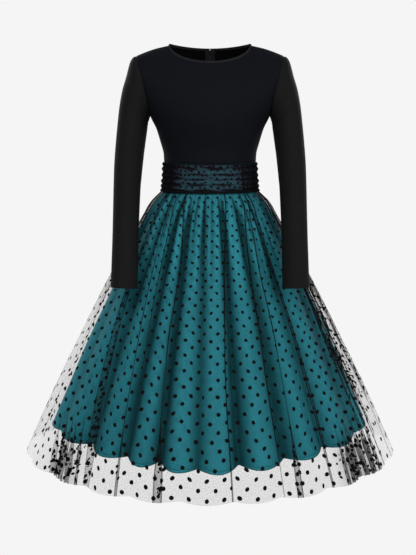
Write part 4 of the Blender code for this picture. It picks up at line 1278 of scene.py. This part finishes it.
class DRESS_OT_underskirt(Operator):
    """Builds the gathered satin underskirt, with its narrow rolled hem"""

    bl_idname = "dress.underskirt"
    bl_label = "Satin underskirt"

    def execute(self, context):
        thread = finish_named("petrol_thread", thread_finish, (0.008, 0.060, 0.075))
        shares = 1 - np.concatenate([
            [0.0, 0.0015, 0.003, 0.006, 0.0095, 0.0110, 0.0125, 0.0150, 0.022],
            np.linspace(0.035, 0.80, 48), np.linspace(0.815, 1.0, 24)])
        for panel, (low, high) in PANELS.items():
            turns = np.linspace(low + SEAM_DEG, high - SEAM_DEG, round((high - low) / 0.6))
            grid_turn, grid_share = np.meshgrid(turns, shares)
            _, inward = fold_at(UNDER.folds, grid_turn)
            small = small_gathers(grid_turn, grid_share)
            points = skirt_points(UNDER, grid_turn, grid_share, sizes().gather_height * small)
            away = outward(grid_turn)
            points = self.hem(points, away)
            points = draw_in(
                points, ["first", "last"], sizes().seam_depth, sizes().seam_width, away)
            # deep is painted shade, from 0 for the lit ridge colour to 1 for the valleys' colour.
            deep = self.shade(grid_turn, grid_share, inward, small, edge_distance(points, "bottom"))
            obj = grid_object(f"underskirt_{panel}_satin", points, petrol_satin(), fold=deep)
            thicken(obj, sizes().satin_wall)
            wear(obj, "satin", f"underskirt_{panel}")
            row = int(np.argmin(np.abs((1 - shares) - HEM_STITCH_SHARE)))
            sewn = stitches(f"underskirt_{panel}_hem_stitches", points[row],
                            grid_normals(points)[row], sizes().stitch_pitch, thread)
            wear(sewn, "satin")
        return {"FINISHED"}

    def shade(self, turn_deg, share, inward, small, far):
        """How much painted shade the satin takes, as its valleys' colour: in folds, small gathers and
        the hem; lighter on the small gathers' ridges, a painted highlight.
        """
        flat = 1 - SIDE_LESS_PAINTED_SHADE * side_share(turn_deg, *SIDE_LESS_PAINTED_SHADE_DEG)
        deep = ease(0.0, FOLD_PAINTED_SHADE_TO, inward) ** FOLD_PAINTED_SHADE_POWER
        deep = deep * ease(*FOLD_PAINTED_SHADE_FROM, share) * flat
        least = LEAST_PAINTED_SHADE_TOP + LEAST_PAINTED_SHADE_MORE * ease(*LEAST_PAINTED_SHADE_SHARES, share)
        deep = least + (1 - least) * deep
        deep = deep + SMALL_VALLEY_PAINTED_SHADE * np.maximum(-small, 0.0)
        deep = deep - SMALL_RIDGE_PAINTED_HIGHLIGHT * np.maximum(small, 0.0)
        deep = np.maximum(np.clip(deep, 0, 1), 1 - ease(*HEM_EDGE_PAINTED_SHADE, far))
        groove = np.exp(-(((far - HEM_GROOVE) / HEM_GROOVE_SHADE) ** 2))
        return np.maximum(deep, HEM_GROOVE_PAINTED_SHADE * groove)

    def hem(self, points, away):
        """A rolled hem: a thin bead along the edge, and the line where it is stitched down."""
        far = edge_distance(points, "bottom")
        bead = HEM_BEAD * (1 - ease(*HEM_BEAD_REACH, far))
        groove = HEM_GROOVE_DEPTH * np.exp(-(((far - HEM_GROOVE) / HEM_GROOVE_WIDTH) ** 2))
        return points + away * (bead - groove)[..., None]


class NetPanel:
    """The layout of one panel of the net: where its pleats lie, and how its cloth runs through them.

    Places along the cloth are counted in dots. Between two pleats the dots keep their spacing, and
    the cloth that is left over is crushed together inside the pleats. The pleats that start only near
    the hem are left out where it isn't the whole layout."""

    def __init__(self, panel, whole=True):
        self.pleats = [pleat for pleat in PLEATS[panel] if whole or not self.from_hem(pleat)]
        self.low, self.high = PANELS[panel]
        self.low += SEAM_DEG
        self.high -= SEAM_DEG
        widths, turns, reach = self.layout(np.array([1.0]))
        _, _, length = self.stretches(widths, turns, reach)
        before, after, length = widths[0, :-1] / 2, widths[0, 1:] / 2, length[0]
        self.start = np.concatenate([[0.0], np.cumsum(before + length + after)]) / DOT_SPACINGS[-1]
        self.centre = self.start[:-1] + (before + length / 2) / DOT_SPACINGS[-1]
        middle = np.degrees(turns[0, :-1] + turns[0, 1:]) / 2
        crimped = np.zeros(len(middle), bool)
        for crinkle in CRINKLES:
            near = np.abs(middle - crinkle.turn_deg) < crinkle.half_deg + CRINKLE_MARGIN_DEG
            crimped |= near
        step = np.where(crimped, CRINKLE_STEP, PLAIN_STEP)
        self.inner = np.maximum(np.ceil(length / step), 2).astype(int)

    def from_hem(self, pleat):
        return pleat.strip_1 == 0

    def layout(self, share):
        """At each share down: the pleats' overlaps, their turns in radians and the skirt's reach."""
        lines = [smooth(LINE_AT, (p.top, p.hip, p.middle, p.hem), share) for p in self.pleats]
        strips = [smooth(STRIP_AT, (p.strip_1, p.strip_2, p.strip_3, p.strip_4), share)
                  for p in self.pleats]
        ends = np.ones_like(share)
        turns = np.radians(np.stack([self.low * ends, *lines, self.high * ends], 1))
        widths = np.stack([0.0 * ends, *strips, 0.0 * ends], 1) / 1000.0
        wide = read(OVERSKIRT, "half_width", share)[:, None]
        deep = read(OVERSKIRT, "half_depth", share)[:, None]
        reach = np.hypot(wide * np.cos(turns), deep * np.sin(turns))
        arcs = np.diff(turns, axis=1) * (reach[:, 1:] + reach[:, :-1]) / 2
        room = np.maximum(STRIP_ROOM * np.minimum(arcs[:, :-1], arcs[:, 1:]), THINNEST_STRIP)
        widths[:, 1:-1] = np.clip(widths[:, 1:-1], THINNEST_STRIP, room)
        return widths, turns, reach

    def stretches(self, widths, turns, reach):
        """The two ends and the length of each stretch of net from one pleat to the next."""
        first = turns[:, :-1] - widths[:, :-1] / 2 / reach[:, :-1]
        last = turns[:, 1:] + widths[:, 1:] / 2 / reach[:, 1:]
        return first, last, (last - first) * (reach[:, :-1] + reach[:, 1:]) / 2

    def rows(self, share):
        """For rows at shares down: each station's place on the cloth, turn, lift and density."""
        share = np.atleast_1d(np.asarray(share, float))
        widths, turns, reach = self.layout(share)
        first, last, length = self.stretches(widths, turns, reach)
        spacing = smooth(DOT_AT, DOT_SPACINGS, share)
        count = len(self.pleats)
        none = 0.0 * share
        dark = [smooth(STRIP_AT, (p.dark_1, p.dark_2, p.dark_3, p.dark_4), share)
                * (1 - (HEM_PLEAT_WAVER if self.from_hem(p) else PLEAT_WAVER)
                   * (1 + np.sin(61 * share + 5 * k)))
                for k, p in enumerate(self.pleats)]
        dark = np.clip(np.stack([none, *dark, none], 1), 0.0, 1.0)
        # Two pleats out of three are folded one way, and the third the other way.
        over = np.array([0.0] + [1.0 if k % 3 else -1.0 for k in range(count)] + [0.0])
        over = over * np.minimum(widths / LIFTED_STRIP, 1.0)
        made = []

        def cloth_at(k, spot):
            middle = np.degrees(turns[:, k] + turns[:, k + 1]) / 2
            later = HEM_SPACED_LATER_DEG * ease(HEM_SPACED_FROM, HEM_SPACED_TO, share)
            side = side_share(middle, SPACED_FROM_DEG + later, SPACED_TO_DEG)
            wider = 1 + (SIDE_DOT_SPACING - 1) * side
            place = self.centre[k] + (spot - length[:, k] / 2) / (spacing * wider)
            return np.clip(place, self.start[k], self.start[k + 1])

        def put(place, turn, lift, dense):
            made.append((place, np.degrees(turn), lift + none, dense + none))

        for k in range(count + 1):
            width, after, run = widths[:, k], widths[:, k + 1], length[:, k]
            near, close = (np.minimum(distance, part * run)
                           for distance, part in (NEAR_STATION, CLOSE_STATION))
            steps = self.inner[k]
            inside = [close + (run - 2 * close) * i / steps for i in range(steps + 1)]
            spots = [none, near, *inside, run - near, run]
            fade = [*EDGE_FADE] + [0.0] * (len(spots) - 2)
            for i, spot in enumerate(spots):
                down = 1 - ease(0.0, PLEAT_EASE, spot - width)
                up = 1 - ease(0.0, PLEAT_EASE, run - spot - after)
                lift = PLEAT_LIFT * (over[:, k + 1] * up - over[:, k] * down)
                dense = dark[:, k] * fade[i] + dark[:, k + 1] * fade[-1 - i]
                turn = first[:, k] + (last[:, k] - first[:, k]) * spot / run
                put(cloth_at(k, spot), turn, lift, dense)
            if k == count:
                break
            edge = after / 2 / reach[:, k + 1]
            tip = np.minimum(PLEAT_TIP, after / 4) / reach[:, k + 1]
            centre, side, dense = turns[:, k + 1], over[:, k + 1], dark[:, k + 1]
            before, beyond = cloth_at(k, run), cloth_at(k + 1, none)
            put(before, centre + edge + tip, side * PLEAT_LIFT / 2, dense)
            put(before, centre + edge, 0.0, dense)
            between = INNER_DENSE * dense - INNER_OPEN * np.minimum(after / WIDE_STRIP, 1.0)
            for part in (0.25, 0.5, 0.75):
                put(before + (beyond - before) * part, centre + edge * (1 - 2 * part), 0.0, between)
            put(beyond, centre - edge, 0.0, dense)
            put(beyond, centre - edge - tip, -side * PLEAT_LIFT / 2, dense)
        return tuple(np.stack(column, 1) for column in zip(*made))


class DRESS_OT_overskirt(Operator):
    """Builds the net overskirt: three panels whose narrow pleats lie over themselves"""

    bl_idname = "dress.overskirt"
    bl_label = "Net overskirt"

    def execute(self, context):
        net = finish_named("skirt_net", net_finish, tuple(colours().net),
                           tuple(colours().crease), 0.215, 0.92)
        shares = 1 - np.concatenate([np.linspace(0.0, 0.04, 4), np.linspace(0.055, 0.88, 44),
                                     np.linspace(0.90, 1.0, 10)])
        for panel in PANELS:
            layout = NetPanel(panel)
            cloth, turns, lifts, dense = layout.rows(shares)
            drawn, steep = crinkled(turns, shares[:, None])
            points = skirt_points(OVER, turns, shares[:, None], lifts - drawn)
            dense = dense + self.crushed(turns, shares[:, None]) + CRINKLE_DENSE * steep
            dense = np.clip(dense, *NET_DENSE)
            along = np.broadcast_to(shares[:, None] * SKIRT_DROP, cloth.shape)
            uv = np.stack([cloth * DOT_SPACINGS[-1], -along], -1)
            obj = grid_object(f"overskirt_{panel}_net", points, net, uv=uv, gather=dense)
            wear(obj, "net", f"overskirt_{panel}")
            dots = self.dots(panel, layout)
            wear(dots, "net")
        return {"FINISHED"}

    def crushed(self, turn_deg, share):
        """How dense the net is where its gathers are crushed together, in uneven upright streaks."""
        turn = np.radians(turn_deg)
        broad = np.sin(STREAKS[0] * turn + 4 * np.sin(9 * turn))
        streaks = 0.5 * broad + 0.5 * np.sin(STREAKS[1] * turn + 6 * share)
        dense = WAIST_DENSE * np.exp(-share / WAIST_DENSE_FADE) + 0.0 * turn
        upper = NET_SIDE_DENSE * (1 - ease(*NET_SIDE_DENSE_TO, share))
        lower = NET_SIDE_OPEN * ease(*NET_SIDE_OPEN_FROM, share)
        dense = dense + side_share(turn_deg, *NET_SIDE_DEG) * (upper - lower)
        for crush in CRUSHES:
            near = 1 - ease(0.55, 1.0, np.abs(turn_deg - crush.turn_deg) / crush.half_deg)
            grown = ease(crush.low, crush.high, share)
            grown = grown * (1 - ease(crush.end - CRUSH_FADE, crush.end, share))
            dense = dense + crush.dense * near * grown
        return dense * (1 + STREAK_SHARE * streaks)

    def crushed_dots(self, layout, shape, chance):
        """Dots squeezed narrow and turned every way, inside the wide pleats and the crushed gathers."""
        made = []

        def scatter(turn, share, reach):
            radius = sizes().dot_share * float(smooth(DOT_AT, DOT_SPACINGS, share))
            radius *= chance.uniform(*CRUSHED_SIZE)
            squeeze, lean = chance.uniform(*CRUSHED_SQUEEZE), chance.normal(0.0, CRUSHED_LEAN)
            x, y = shape[:, 0] * squeeze * radius, shape[:, 1] * radius
            x, y = x * math.cos(lean) - y * math.sin(lean), x * math.sin(lean) + y * math.cos(lean)
            row = np.clip(share + y / SKIRT_DROP, *DOT_ENDS)
            turned = turn + np.degrees(x / reach)
            lift = PLEAT_LIFT + CRUSHED_DOT_LIFT - crinkled(turned, row)[0]
            made.append(skirt_points(OVER, turned, row, lift))

        for share in np.arange(*CRUSHED_ROWS, CRUSHED_STEP_PLEATS):
            at = np.array([share])
            widths, turns, reach = layout.layout(at)
            for k in range(1, widths.shape[1] - 1):
                width = widths[0, k]
                late = layout.from_hem(layout.pleats[k - 1]) and share < HEM_PLEATS_FROM
                if late or width < CRUSHED_LEAST_STRIP:
                    continue
                if chance.random() > width / CRUSHED_SURE_STRIP:
                    continue
                turn = turns[0, k] + chance.uniform(-0.5, 0.5) * width / reach[0, k]
                scatter(math.degrees(turn), share, reach[0, k])
        for crush in CRUSHES:
            if not layout.low < crush.turn_deg < layout.high:
                continue
            end = min(crush.end, CRUSHED_ROWS[1])
            for share in np.arange(crush.low, end, CRUSHED_STEP_CRUSHES):
                across = chance.uniform(-CRUSHED_SPREAD, CRUSHED_SPREAD)
                if chance.random() < crush.dots:
                    scatter(crush.turn_deg + across * crush.half_deg, share, CRUSHED_REACH)
        return np.array(made)

    def dots(self, panel, layout):
        """Staggered round dots, closer together and smaller towards the waist."""
        chance = np.random.default_rng(5)
        disc = round_template(12)
        shape = template_points(disc)
        west, east = int(np.argmin(shape[:, 0])), int(np.argmax(shape[:, 0]))
        upper = NetPanel(panel, whole=False)
        places = []
        share, number = DOT_ROWS[0], 0
        while share < DOT_ROWS[1]:
            spacing = float(smooth(DOT_AT, DOT_SPACINGS, share))
            aspect = float(smooth(DOT_AT, DOT_ASPECTS, share))
            radius = sizes().dot_share * spacing
            used = layout if share > HEM_PLEATS_FROM else upper
            middles = np.arange(0.25 + 0.5 * (number % 2), used.start[-1] - 0.1, 1.0)
            middles = middles + chance.normal(0.0, DOT_ASIDE, len(middles))
            squeeze = chance.uniform(*DOT_SQUEEZE, len(middles))
            lean = chance.normal(0.0, DOT_LEAN, len(middles))
            rows = np.clip(share + radius / SKIRT_DROP * shape[:, 1], *DOT_ENDS)
            cloth, turns, lifts, _ = used.rows(rows)
            wide = radius / spacing
            ends = [np.interp(middles + step, cloth[0], turns[0]) for step in (-0.1, 0.1)]
            if share < HEM_PLEATS_FROM:
                side = side_share((ends[0] + ends[1]) / 2, *WIDENED_DEG)
                squeeze = squeeze * (1 + SIDE_DOT_WIDENING * side)
            reach = float(read(OVERSKIRT, "half_width", share))
            slack = np.maximum(np.radians(ends[1] - ends[0]) * reach / (0.2 * spacing), 1.0)
            turn = np.empty((len(middles), len(shape)))
            lift = np.empty_like(turn)
            for i in range(len(shape)):
                at = middles + wide * (shape[i, 0] * squeeze + shape[i, 1] * lean) / slack
                turn[:, i] = np.interp(at, cloth[i], turns[i])
                lift[:, i] = np.interp(at, cloth[i], lifts[i])
            lift = lift + DOT_LIFT - crinkled(turn, rows[None, :])[0]
            made = skirt_points(OVER, turn, rows[None, :], lift)
            across = np.linalg.norm(made[:, [west, east]] - made[:, :1], axis=-1).sum(1)
            places.append(made[(across > DOT_LEAST_WIDTH * 2 * radius) & whole(made, disc)])
            share += 0.5 * spacing * aspect / SKIRT_DROP
            number += 1
        places.append(self.crushed_dots(layout, shape, chance))
        return joined(f"skirt_dots_{panel}", disc, np.concatenate(places), black_flock())


class DRESS_OT_zip(Operator):
    """Finishes the back zip: its tapes, coil, slider and pull tab"""

    bl_idname = "dress.zip"
    bl_label = "Back zip"

    def execute(self, context):
        tape = finish_named("woven_tape", tape_finish, (0.012, 0.012, 0.014))
        for side in ("left", "right"):
            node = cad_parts[f"zip_tape_{side}"]
            node.data.materials.clear()
            node.data.materials.append(tape)
        self.coil()
        self.slider()
        return {"FINISHED"}

    def centre_back(self):
        """The inside of the centre back, from the top of the tapes down to their ends."""
        rise = np.linspace(0.97, 0.0, 60)
        share = np.linspace(0.02, 1.0, 12)
        down = np.linspace(0.0, 0.115, 12)
        line = np.concatenate([
            bodice_points(0.0 * rise, rise, BACK),
            band_points(180.0 + 0.0 * share, share),
            skirt_points(UNDER, 180.0 + 0.0 * down, down)])
        line[:, 0] = 0.0
        return line

    def coil(self):
        """A nylon coil on each side of the opening, inside the tapes."""
        nylon = finish_named("black_nylon", nylon_finish, (0.010, 0.010, 0.011))
        line = self.centre_back()
        far = lengths_along(line)
        bead = bead_template()
        shape = template_points(bead) * np.array(COIL_BEAD)
        copies = []
        for side, start in ((LEFT, 0.0), (RIGHT, 0.5)):
            middles = np.arange(COIL_TOP + start * COIL_PITCH, far[-1] - COIL_END, COIL_PITCH)
            centre = points_along(line, far, middles)
            centre[:, 0] = side * COIL_APART
            centre[:, 1] -= COIL_INSIDE
            copies.append(centre[:, None] + shape[None])
        wear(joined("zip_coil", bead, np.concatenate(copies), nylon), "zip_tape")

    def frame_matrix(self):
        """Where the slider lies: under the pull tab's hinge, leaning with the cloth."""
        above, below = (Vector(bodice_points(0.0, SLIDER_RISE + step, BACK))
                        for step in (SLIDER_SPAN, -SLIDER_SPAN))
        up = (above - below).normalized()
        out = Vector((1.0, 0.0, 0.0)).cross(up) * -1.0
        place = Matrix((Vector((1.0, 0.0, 0.0)), out, up)).transposed().to_4x4()
        place.translation = Vector(PULL_HINGE) - out * (SLIDER_SIZE[1] + BRIDGE_HOLE_HEIGHT / 2)
        return place

    def plate(self, name, outline, hole, thickness):
        """A flat plate in the XZ plane, with rounded edges and a hole if one is given."""
        bm = bmesh.new()
        count = len(outline)
        outer = bmesh.ops.create_circle(bm, segments=count, radius=1.0)["verts"]
        for vert, (x, z) in zip(outer, outline):
            vert.co = (x, 0.0, z)
        if hole is None:
            bmesh.ops.contextual_create(bm, geom=outer)
        else:
            inner = bmesh.ops.create_circle(bm, segments=count, radius=1.0)["verts"]
            for vert, (x, z) in zip(inner, hole):
                vert.co = (x, 0.0, z)
            bmesh.ops.bridge_loops(bm, edges=bm.edges[:])
        made = bmesh.ops.extrude_face_region(bm, geom=bm.faces[:])
        moved = [item for item in made["geom"] if isinstance(item, bmesh.types.BMVert)]
        bmesh.ops.translate(bm, verts=moved, vec=(0.0, thickness, 0.0))
        bmesh.ops.translate(bm, verts=bm.verts, vec=(0.0, -thickness / 2, 0.0))
        bmesh.ops.recalc_face_normals(bm, faces=bm.faces)
        rims = [edge for edge in bm.edges if edge.is_manifold and edge.calc_face_angle(0.0) > 1.0]
        bmesh.ops.bevel(bm, geom=rims, offset=thickness * PLATE_BEVEL, segments=2, profile=0.5,
                        affect="EDGES", material=-1, clamp_overlap=True)
        return mesh_from(name, bm)

    def slider(self):
        lacquer = finish_named("black_lacquer", lacquer_finish, (0.020, 0.020, 0.022))
        place = self.frame_matrix()
        angle = np.linspace(0.0, 2 * np.pi, 33)[:-1]
        wide, thick, tall = SLIDER_SIZE
        narrowing = 1 - SLIDER_NARROWING * (1 - np.cos(angle - np.pi / 2)) / 2
        outline = np.stack([wide / 2 * squared(np.cos(angle), SLIDER_SQUARENESS) * narrowing,
                            tall / 2 * squared(np.sin(angle), SLIDER_SQUARENESS)], -1)
        body = self.plate("zip_slider_body", outline, None, thick)
        body.transform(place @ Matrix.Translation((0.0, thick / 2, 0.0)))
        bridge = self.bridge(place)
        bm = bmesh.new()
        bm.from_mesh(body)
        bm.from_mesh(bridge)
        bm.to_mesh(body)
        bm.free()
        wear(link("zip_slider_body", body, lacquer), "zip_metal", "zip_slider")

        axis_out = thick + BRIDGE_HOLE_HEIGHT / 2
        wide, thick, tall = PULL_SIZE
        square, upright = (squared(wave, PULL_SQUARENESS) for wave in (np.cos(angle), np.sin(angle)))
        middle = PULL_BAR / 2 - tall / 2
        taper = 1 - PULL_TAPER + PULL_TAPER * (0.5 - 0.5 * np.cos(np.pi * (0.5 - upright / 2)))
        outline = np.stack([wide / 2 * square * taper, middle + tall / 2 * upright], -1)
        hole_wide, hole_tall = PULL_HOLE
        hole = np.stack([hole_wide / 2 * square,
                         -(PULL_BAR + hole_tall) / 2 + hole_tall / 2 * upright], -1)
        pull = self.plate("zip_pull_tab", outline, hole, thick)
        pull.transform(place @ Matrix.Translation((0.0, axis_out, 0.0)))
        wear(link("zip_pull_tab", pull, lacquer), "zip_metal", "zip_pull", body="pull_tab")

    def bridge(self, place):
        """The slider's bridge: a strap bent over the pull tab's bar."""
        wide, high, tall = BRIDGE_SIZE
        base = SLIDER_SIZE[1] - 0.0002
        bm = bmesh.new()
        bmesh.ops.create_grid(bm, x_segments=2, y_segments=16, size=0.5)
        bm.verts.ensure_lookup_table()
        strap = (high - BRIDGE_HOLE_HEIGHT - 0.0002) / 2
        for vert in bm.verts:
            turn = math.pi * (vert.co.y + 0.5)
            reach = math.copysign(abs(math.cos(turn)) ** 0.5, math.cos(turn))
            lift = abs(math.sin(turn)) ** 0.5
            vert.co = (vert.co.x * wide, base + (high - strap) * lift, -(tall / 2 - strap) * reach)
        bmesh.ops.recalc_face_normals(bm, faces=bm.faces)
        bmesh.ops.solidify(bm, geom=bm.faces[:], thickness=strap)
        mesh = mesh_from("zip_bridge", bm)
        mesh.transform(place)
        return mesh


class DRESS_OT_stage(Operator):
    """Sets the camera, the soft studio lights, the pale floor and the backdrop"""

    bl_idname = "dress.stage"
    bl_label = "Stage"

    def execute(self, context):
        scene = context.scene
        scene.view_settings.view_transform = "Standard"
        scene.cycles.transparent_max_bounces = 32
        camera = bpy.data.cameras.new("camera")
        camera.lens, camera.sensor_width = CAMERA_LENS_MM, CAMERA_SENSOR_MM
        view = bpy.data.objects.new("camera", camera)
        view.location = CAMERA_PLACE
        view.rotation_euler = (math.radians(90.0 - CAMERA_TILT_DEG), 0.0, 0.0)
        scene.collection.objects.link(view)
        scene.camera = view
        for name, place, size, power in LAMPS:
            self.lamp(scene, name, place, size, power)
        self.floor()
        self.world(scene)
        return {"FINISHED"}

    def lamp(self, scene, name, place, size, power):
        light = bpy.data.lights.new(name, "AREA")
        light.size, light.energy = size, power
        obj = bpy.data.objects.new(name, light)
        obj.location = place
        aim = Vector(LAMPS_AIM) - Vector(place)
        obj.rotation_euler = aim.to_track_quat("-Z", "Y").to_euler()
        scene.collection.objects.link(obj)

    def floor(self):
        bm = bmesh.new()
        bmesh.ops.create_grid(bm, x_segments=1, y_segments=1, size=FLOOR_SIZE)
        mesh = mesh_from("studio_floor", bm)
        mesh.transform(Matrix.Translation((0.0, 0.0, FLOOR_HEIGHT)))
        pale = bpy.data.materials.new("studio_floor")
        pale.use_nodes = True
        tree = pale.node_tree
        shader = tree.nodes["Principled BSDF"]
        shader.inputs["Base Color"].default_value = solid(colours().backdrop, 0.8)
        shader.inputs["Roughness"].default_value = 0.9
        glow = tree.nodes.new("ShaderNodeEmission")
        glow.inputs["Color"].default_value = solid(colours().backdrop)
        self.seen_apart(tree, shader, glow, "Material Output")
        link("studio_floor", mesh, pale)

    def world(self, scene):
        world = bpy.data.worlds.new("studio")
        world.use_nodes = True
        tree = world.node_tree
        seen = tree.nodes["Background"]
        seen.inputs["Color"].default_value = solid(colours().backdrop)
        lit = tree.nodes.new("ShaderNodeBackground")
        lit.inputs["Color"].default_value = (0.93, 0.96, 1.0, 1.0)
        lit.inputs["Strength"].default_value = 0.42
        self.seen_apart(tree, lit, seen, "World Output")
        scene.world = world

    def seen_apart(self, tree, lit, seen, output):
        """Shows the camera one shader, and lights the dress by another."""
        path = tree.nodes.new("ShaderNodeLightPath")
        mix = tree.nodes.new("ShaderNodeMixShader")
        tree.links.new(path.outputs["Is Camera Ray"], mix.inputs[0])
        tree.links.new(lit.outputs[0], mix.inputs[1])
        tree.links.new(seen.outputs[0], mix.inputs[2])
        tree.links.new(mix.outputs[0], tree.nodes[output].inputs["Surface"])


class DRESS_PT_panel(Panel):
    """Lists the dress's sizes, colours and pieces"""

    bl_label = "A-line dress"
    bl_idname = "DRESS_PT_panel"
    bl_space_type = "VIEW_3D"
    bl_region_type = "UI"
    bl_category = "Dress"

    def draw(self, context):
        for group in (context.scene.dress_sizes, context.scene.dress_colours):
            box = self.layout.box()
            for key in group.__annotations__:
                box.prop(group, key)
        for operator in OPERATORS:
            self.layout.operator(operator.bl_idname)


OPERATORS = (
    DRESS_OT_stage,
    DRESS_OT_bodice,
    DRESS_OT_sleeves,
    DRESS_OT_neck_binding,
    DRESS_OT_waistband,
    DRESS_OT_band_net,
    DRESS_OT_underskirt,
    DRESS_OT_overskirt,
    DRESS_OT_zip,
)
CLASSES = (DressSizes, DressColours, *OPERATORS, DRESS_PT_panel)


def register():
    for cls in CLASSES:
        bpy.utils.register_class(cls)
    bpy.types.Scene.dress_sizes = PointerProperty(type=DressSizes)
    bpy.types.Scene.dress_colours = PointerProperty(type=DressColours)


def unregister():
    del bpy.types.Scene.dress_colours
    del bpy.types.Scene.dress_sizes
    for cls in reversed(CLASSES):
        bpy.utils.unregister_class(cls)


def main():
    register()
    bpy.ops.dress.stage()
    bpy.ops.dress.bodice()
    bpy.ops.dress.sleeves()
    bpy.ops.dress.neck_binding()
    bpy.ops.dress.waistband()
    bpy.ops.dress.band_net()
    bpy.ops.dress.underskirt()
    bpy.ops.dress.overskirt()
    bpy.ops.dress.zip()


if __name__ == "__main__":
    main()
